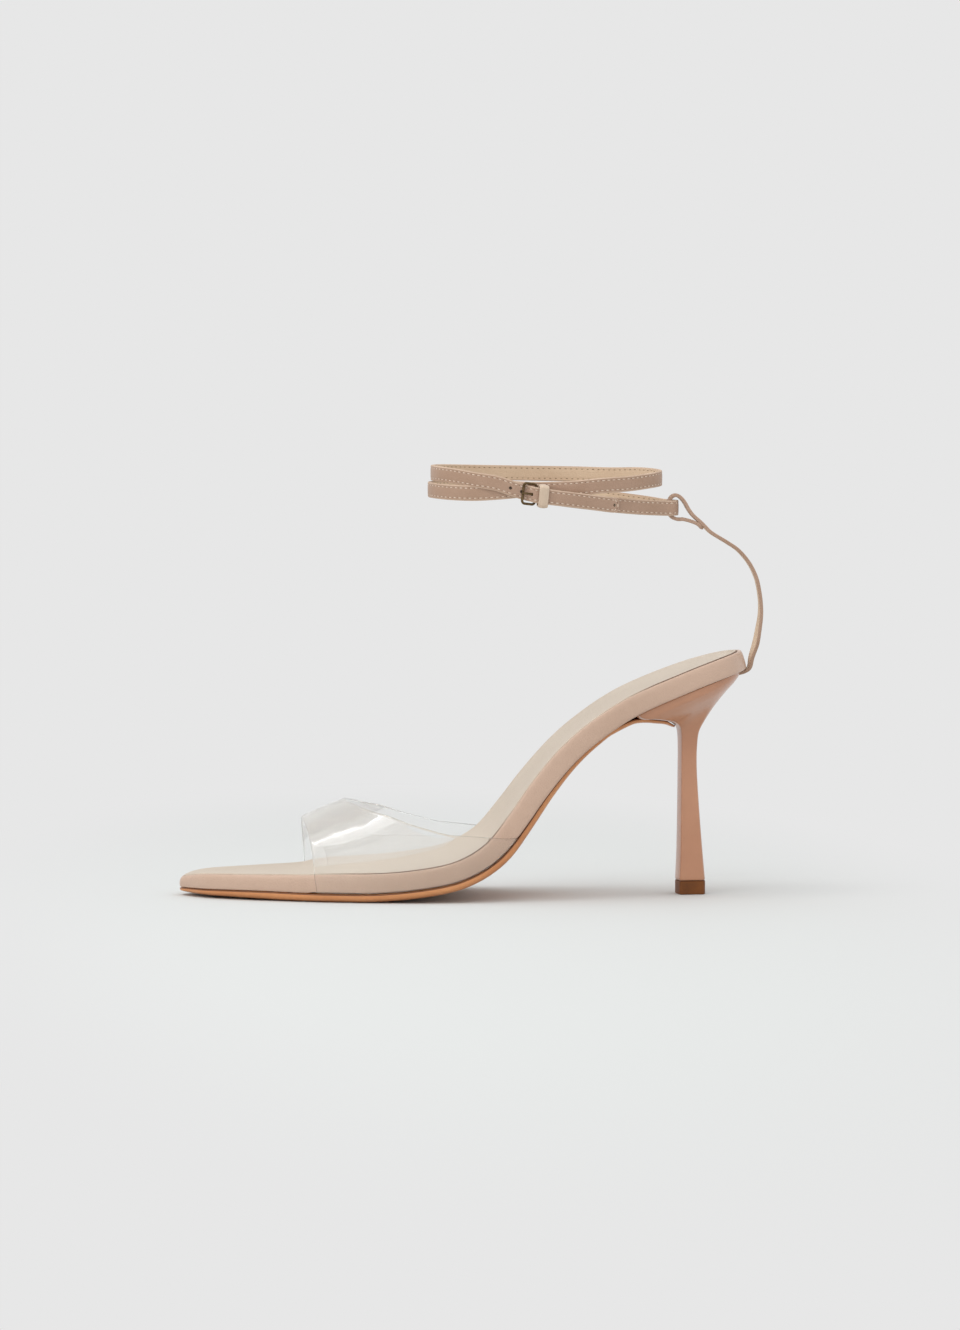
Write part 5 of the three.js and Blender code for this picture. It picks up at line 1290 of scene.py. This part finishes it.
def makeHeelStrap():
    course, twists = heelStrapCourse()
    line = SmoothLine(course)
    rows = len(course) - 1
    places = np.linspace(0, 1, rows * 12 + 1)
    points, tangents = line.at(places), line.direction(places)
    twist = np.radians(np.interp(places * rows, np.arange(rows + 1), twists))
    side = np.cross(tangents, [0.0, 1.0, 0.0])
    wide = np.array([0.0, 1.0, 0.0]) * np.cos(twist)[:, None] + side * np.sin(twist)[:, None]
    fromEnd = np.linalg.norm(points - points[-1], axis=1)
    count = len(points)
    thicks = np.full(count, float(strap["heelThickness"]))
    atEnd = np.arange(count) > count - 20
    thicks[atEnd] = np.minimum(thicks[atEnd], 0.5 + 1.1 * fromEnd[atEnd])
    share = np.clip((fromEnd + 0.1) / (0.45 * strap["heelWidth"]), 0, 1)
    widths = np.full(count, float(strap["heelWidth"]))
    widths[atEnd] *= np.sqrt(1 - (1 - share[atEnd]) ** 2)
    outward = np.cross(tangents, wide)
    if np.dot(outward[int(0.35 * count)], np.array([1.0, 0, 0])) < 0:
        outward = -outward
    materials = [leather["strapLeather"], leather["strapLining"], leather["strapLeather"]]
    piece, across, thick = sweepStrap(
        "heel_strap_leather", points, tangents, wide, widths, thicks, outward, materials)
    finish(piece, "leather", "heel_strap")
    return points, across, thick, widths, thicks


heelParts = makeHeelStrap()
stitchStrap("heel_strap", heelParts, 14, 2.2, strap["stitchInset"] - 0.1, 0.02)
print("heel strap made")


# Buckle and keeper, in the buckle's own axes
buckle = {"wire": 1.0, "length": 5.2, "corner": 1.2, "play": 0.5, "turn": 5, "barAlong": -0.0685,
          "prongWidth": 1.0, "prongOver": 0.8, "ringClearance": 0.2, "ringWall": 0.4,
          "frameSteps": 150, "ringSteps": 48, "prongSides": 14, "tipFrom": 0.93}
keeper = {"length": 3.8, "thickness": 0.8, "behindBar": 1.5, "round": 1.3, "innerRound": 0.35, "bulge": 0.3,
          "slid": 0.7, "around": 96, "cornerSteps": 8}


# Share of the ankle strap at a place along the shoe, on the turn nearest to one of its ends
def placeAt(along, fromFreeEnd):
    rows = strap["course"]
    order = range(len(rows) - 2, -1, -1) if fromFreeEnd else range(len(rows) - 1)
    i = next(k for k in order if rows[k][0] <= along <= rows[k + 1][0])
    return (i + (along - rows[i][0]) / (rows[i + 1][0] - rows[i][0])) / ankleRows


# Two axes turned in their own plane
def turnPair(x, y, degrees):
    angle = math.radians(degrees)
    return x * math.cos(angle) + y * math.sin(angle), y * math.cos(angle) - x * math.sin(angle)


def buckleAxes():
    barPlace = placeAt(buckle["barAlong"], False)
    frontPlace = placeAt(buckle["barAlong"] - buckle["length"] / strap["ankleLength"], True)
    bar, under = ankle.at(barPlace)[0], ankle.at(frontPlace)[0]
    tangent = ankle.direction(frontPlace)[0]
    outward = unit(np.array([tangent[1], -tangent[0], 0]))
    clear = strap["thickness"] / 2 + 2 * sole["gap"] + buckle["wire"] / 2
    x = unit(bar - (under + outward * clear))
    y = unit(np.array([0, 0, 1.0]) - x * x[2])
    z = np.cross(x, y)
    x, y = turnPair(x, y, buckle["turn"])
    return np.array([x, y, z]), bar - x * buckle["length"] / 2


def keeperAxes():
    along = buckle["barAlong"] + (keeper["behindBar"] + keeper["length"] / 2) / strap["ankleLength"]
    under, over = ankle.at(placeAt(along, False))[0], ankle.at(placeAt(along, True))[0]
    x = ankle.direction(placeAt(along, False))[0]
    z = over - under
    z = unit(z - x * np.dot(z, x))
    y = np.cross(z, x)
    x, y = turnPair(x, y, buckle["turn"])
    deep = np.linalg.norm(over - under) / 2 + strap["thickness"] / 2 + 1.9 * sole["gap"]
    return np.array([x, y, z]), (under + over) / 2, deep


# A closed or open tube of elliptical section along points in a plane of the buckle
def tube(points, radii, closed, normal, sides=18, flatness=1.0):
    points = np.asarray(points, float)
    if closed:
        run = unit(np.roll(points, -1, axis=0) - np.roll(points, 1, axis=0))
    else:
        run = unit(np.gradient(points, axis=0))
    out = unit(np.cross(run, normal))
    up = np.cross(out, run)
    angle = np.linspace(0, 2 * np.pi, sides, endpoint=False)
    rings = points[:, None] + out[:, None] * np.cos(angle)[None, :, None] * radii[:, None, None]
    rings = rings + up[:, None] * (np.sin(angle) * flatness)[None, :, None] * radii[:, None, None]
    if not closed:
        return closedRings(rings, [points[0], points[-1]])
    return rings.reshape(-1, 3), gridFaces(len(points), sides, roundRows=True, roundColumns=True)


# A rectangle with rounded corners
def roundedLoop(halfX, halfY, radius, steps):
    spots = []
    x, y = halfX - radius, halfY - radius
    for cx, cy, turn in ((x, y, 0), (-x, y, 1), (-x, -y, 2), (x, -y, 3)):
        for k in range(steps + 1):
            angle = (turn + k / steps) * math.pi / 2
            spots.append((cx + radius * math.cos(angle), cy + radius * math.sin(angle)))
    return np.array(spots)


# The same loop with its points evenly spread
def spreadLoop(spots, count):
    loop = np.vstack([spots, spots[:1]])
    distance = runLength(loop)
    even = np.linspace(0, distance[-1], count, endpoint=False)
    return np.stack([np.interp(even, distance, loop[:, k]) for k in (0, 1)], axis=1)


brass = {
    "light": "#86704f", "dark": "#3d2f20", "drift": 420, "marks": 0.9, "scale": 3000, "relief": 0.15,
    "depth": 0.0001, "surface": {"Metallic": 1.0, "Roughness": 0.3},
}


def makeBuckle(material):
    axes, middle = buckleAxes()
    halfX = buckle["length"] / 2
    halfY = strap["width"] / 2 + buckle["play"] + buckle["wire"] / 2
    spots = spreadLoop(roundedLoop(halfX, halfY, buckle["corner"], 12), buckle["frameSteps"])
    path = np.hstack([spots, np.zeros((len(spots), 1))])
    radii = np.full(len(path), buckle["wire"] / 2)
    flat, faces = tube(path, radii, True, np.array([0, 0, 1.0]))
    piece = addMesh("buckle_frame_polished", flat @ axes + middle + shift, faces, [material])
    finish(piece, "buckle_metal", "buckle_frame")
    ringRadius = buckle["wire"] / 2 + buckle["ringClearance"] + buckle["ringWall"] / 2
    angle = np.linspace(0, 2 * np.pi, buckle["ringSteps"], endpoint=False)
    circle = np.stack([halfX + ringRadius * np.cos(angle), 0 * angle, ringRadius * np.sin(angle)], axis=1)
    wall = buckle["ringWall"] / 2
    ringPoints, ringFaces = tube(circle, np.full(len(circle), wall), True, np.array([0, 1.0, 0]),
                                 sides=buckle["prongSides"], flatness=buckle["prongWidth"] / 2 / wall)
    over = buckle["wire"] / 2 + sole["gap"] + buckle["prongWidth"] / 2
    course = SmoothLine([(halfX - 0.2, 0, ringRadius), (halfX * 0.45, 0, over), (-halfX * 0.3, 0, over * 1.15),
                         (-halfX, 0, over), (-halfX - buckle["prongOver"], 0, over * 0.9)])
    tipFrom = buckle["tipFrom"]
    shares = np.concatenate([np.linspace(0, tipFrom, 26), 1 - 0.07 * (1 - np.linspace(0, 1, 8)[1:]) ** 2])
    arm = course.at(shares)
    taper = (1 - 0.35 * shares) * buckle["prongWidth"] / 2
    taper = taper * np.sqrt(1 - np.clip((shares - tipFrom) / 0.0702, 0, 1) ** 2)
    taper[0] *= 0.8
    armPoints, armFaces = tube(arm, np.maximum(taper, 0.02), False, np.array([0, 1.0, 0]),
                               sides=buckle["prongSides"])
    points = np.vstack([ringPoints, armPoints])
    faces = ringFaces + [tuple(i + len(ringPoints) for i in face) for face in armFaces]
    piece = addMesh("buckle_prong_polished", points @ axes + middle + shift, faces, [material])
    finish(piece, "buckle_metal", "buckle_prong")


def makeKeeper():
    axes, middle, deep = keeperAxes()
    tall = strap["width"] / 2 + buckle["play"]
    wall = keeper["thickness"]
    around, steps = keeper["around"], keeper["cornerSteps"]
    outer = spreadLoop(roundedLoop(tall + wall, deep + wall, keeper["round"], steps), around)
    inner = spreadLoop(roundedLoop(tall, deep, keeper["innerRound"], steps), around)
    half = keeper["length"] / 2
    profile = [(-half + 0.3, 0.0), (-half, 0.3), (-half, 0.75), (-half + 0.12, 0.94), (-half + 0.4, 1.0)]
    profile += [(x * half, 1.0 + keeper["bulge"] * (1 - x * x)) for x in (-0.5, 0, 0.5)]
    profile += [(-x, s) for x, s in profile[:5][::-1]]
    rings = []
    for x, share in profile:
        spots = inner + (outer - inner) * share
        rings.append(np.stack([np.full(around, x), spots[:, 0], spots[:, 1]], axis=1))
    points = np.vstack(rings) - [keeper["slid"], 0, 0]
    faces = gridFaces(len(rings), around, roundRows=True, roundColumns=True)
    piece = addMesh("strap_keeper_leather", points @ axes + middle + shift, faces, [leather["keeperLeather"]])
    finish(piece, "leather", "strap_keeper")


makeBuckle(makePlain("antiqueBrass", brass))
makeKeeper()
print("buckle and keeper made")


# Floor and backdrop: one pale sheet, plain light away from the shoe and lit softly near it
stage = {"reach": 9.0, "near": -6.0, "depth": 2.6, "bend": 1.2, "height": 9.0, "floor": "#d0d2d1",
         "colour": "#e7e7e7", "front": 1.1, "rear": 0.62, "side": 0.225, "litTo": 0.45}


def makeStage():
    depth, bend = stage["depth"], stage["bend"]
    rows = [(stage["near"], 0.0), (-1.0, 0.0), (0.0, 0.0), (0.6, 0.0), (depth, 0.0)]
    rows += [(depth + bend * math.sin(a), bend * (1 - math.cos(a))) for a in np.linspace(0.1, math.pi / 2, 10)]
    rows += [(depth + bend, stage["height"])]
    points = []
    for y, z in rows:
        points += [(-stage["reach"], y, z), (stage["reach"], y, z)]
    mesh = bpy.data.meshes.new("studio_floor")
    mesh.from_pydata(points, [], gridFaces(len(rows), 2))
    floor = bpy.data.objects.new("studio_floor", mesh)
    bpy.context.scene.collection.objects.link(floor)
    material, nodes, links, surface = newMaterial("paleFloor", {
        "Base Color": shade(stage["floor"]), "Roughness": 0.75, "Specular IOR Level": 0.1})
    tree = material.node_tree
    place = nodes.new("ShaderNodeTexCoord").outputs["Object"]
    apart = nodes.new("ShaderNodeSeparateXYZ")
    links.new(place, apart.inputs[0])
    front = addMath(tree, "DIVIDE", addMath(tree, "MINIMUM", apart.outputs["Y"], 0), stage["front"])
    rear = addMath(tree, "DIVIDE", addMath(tree, "MAXIMUM", apart.outputs["Y"], 0), stage["rear"])
    spot = nodes.new("ShaderNodeCombineXYZ")
    links.new(addMath(tree, "DIVIDE", apart.outputs["X"], stage["side"]), spot.inputs["X"])
    links.new(addMath(tree, "ADD", front, rear), spot.inputs["Y"])
    away = nodes.new("ShaderNodeVectorMath")
    away.operation = "LENGTH"
    links.new(spot.outputs[0], away.inputs[0])
    ramp = nodes.new("ShaderNodeMapRange")
    ramp.interpolation_type = "SMOOTHSTEP"
    ramp.inputs["From Min"].default_value = stage["litTo"]
    ramp.inputs["From Max"].default_value = 1.0
    links.new(away.outputs["Value"], ramp.inputs["Value"])
    glow = nodes.new("ShaderNodeEmission")
    glow.inputs["Color"].default_value = shade(stage["colour"])
    mix = nodes.new("ShaderNodeMixShader")
    links.new(ramp.outputs[0], mix.inputs[0])
    links.new(surface.outputs[0], mix.inputs[1])
    links.new(glow.outputs[0], mix.inputs[2])
    links.new(mix.outputs[0], nodes["Material Output"].inputs["Surface"])
    mesh.materials.append(material)


# A rectangular lamp turned to the shoe
def addLight(name, look):
    light = bpy.data.lights.new(name, "AREA")
    light.shape = "RECTANGLE"
    light.size, light.size_y = look["size"]
    light.energy = look["power"]
    lamp = bpy.data.objects.new(name, light)
    lamp.location = look["place"]
    lamp.rotation_euler = (Vector(lightTarget) - Vector(look["place"])).to_track_quat("-Z", "Y").to_euler()
    lamp.visible_glossy = look["glossy"]
    bpy.context.scene.collection.objects.link(lamp)


lightTarget = (0, 0, 0.06)
lights = {
    "overhead": {"place": (0.1, -0.1, 1.5), "size": (2.0, 1.8), "power": 7.4, "glossy": False},
    "frontLeft": {"place": (-1.0, -1.5, 0.8), "size": (1.5, 1.2), "power": 7.0, "glossy": False},
    "vampBand": {"place": (-0.65, -0.26, 1.16), "size": (0.55, 0.42), "power": 2.7, "glossy": True},
}
makeStage()
for lightName, lightLook in lights.items():
    addLight(lightName, lightLook)

world = bpy.data.worlds.new("studio")
bpy.context.scene.world = world
world.use_nodes = True
background = world.node_tree.nodes["Background"]
background.inputs["Color"].default_value = shade("#e4e4e4")
background.inputs["Strength"].default_value = 1.14

# Camera at the photograph's angle: degrees, millimetres, and millimetres for each pixel of the frame
view = {"turn": 4.0, "rise": 3.0, "distance": 2600, "scale": 0.395, "target": (118.5, 0, 91.05),
        "frameHeight": 1330, "sensor": 36}


def makeCamera():
    turn, rise = math.radians(view["turn"]), math.radians(view["rise"])
    away = np.array([-math.sin(turn) * math.cos(rise), -math.cos(turn) * math.cos(rise), math.sin(rise)])
    target = np.array(view["target"]) + shift
    camera = bpy.data.cameras.new("photo_camera")
    camera.lens = view["sensor"] * view["distance"] / (view["frameHeight"] * view["scale"])
    camera.sensor_width = view["sensor"]
    eye = bpy.data.objects.new("photo_camera", camera)
    eye.location = Vector((target + away * view["distance"]) * 0.001)
    eye.rotation_euler = Vector(-away).to_track_quat("-Z", "Y").to_euler()
    camera.clip_start = 0.1
    camera.clip_end = 60
    bpy.context.scene.collection.objects.link(eye)
    bpy.context.scene.camera = eye


makeCamera()
print("stage, lights and camera set")
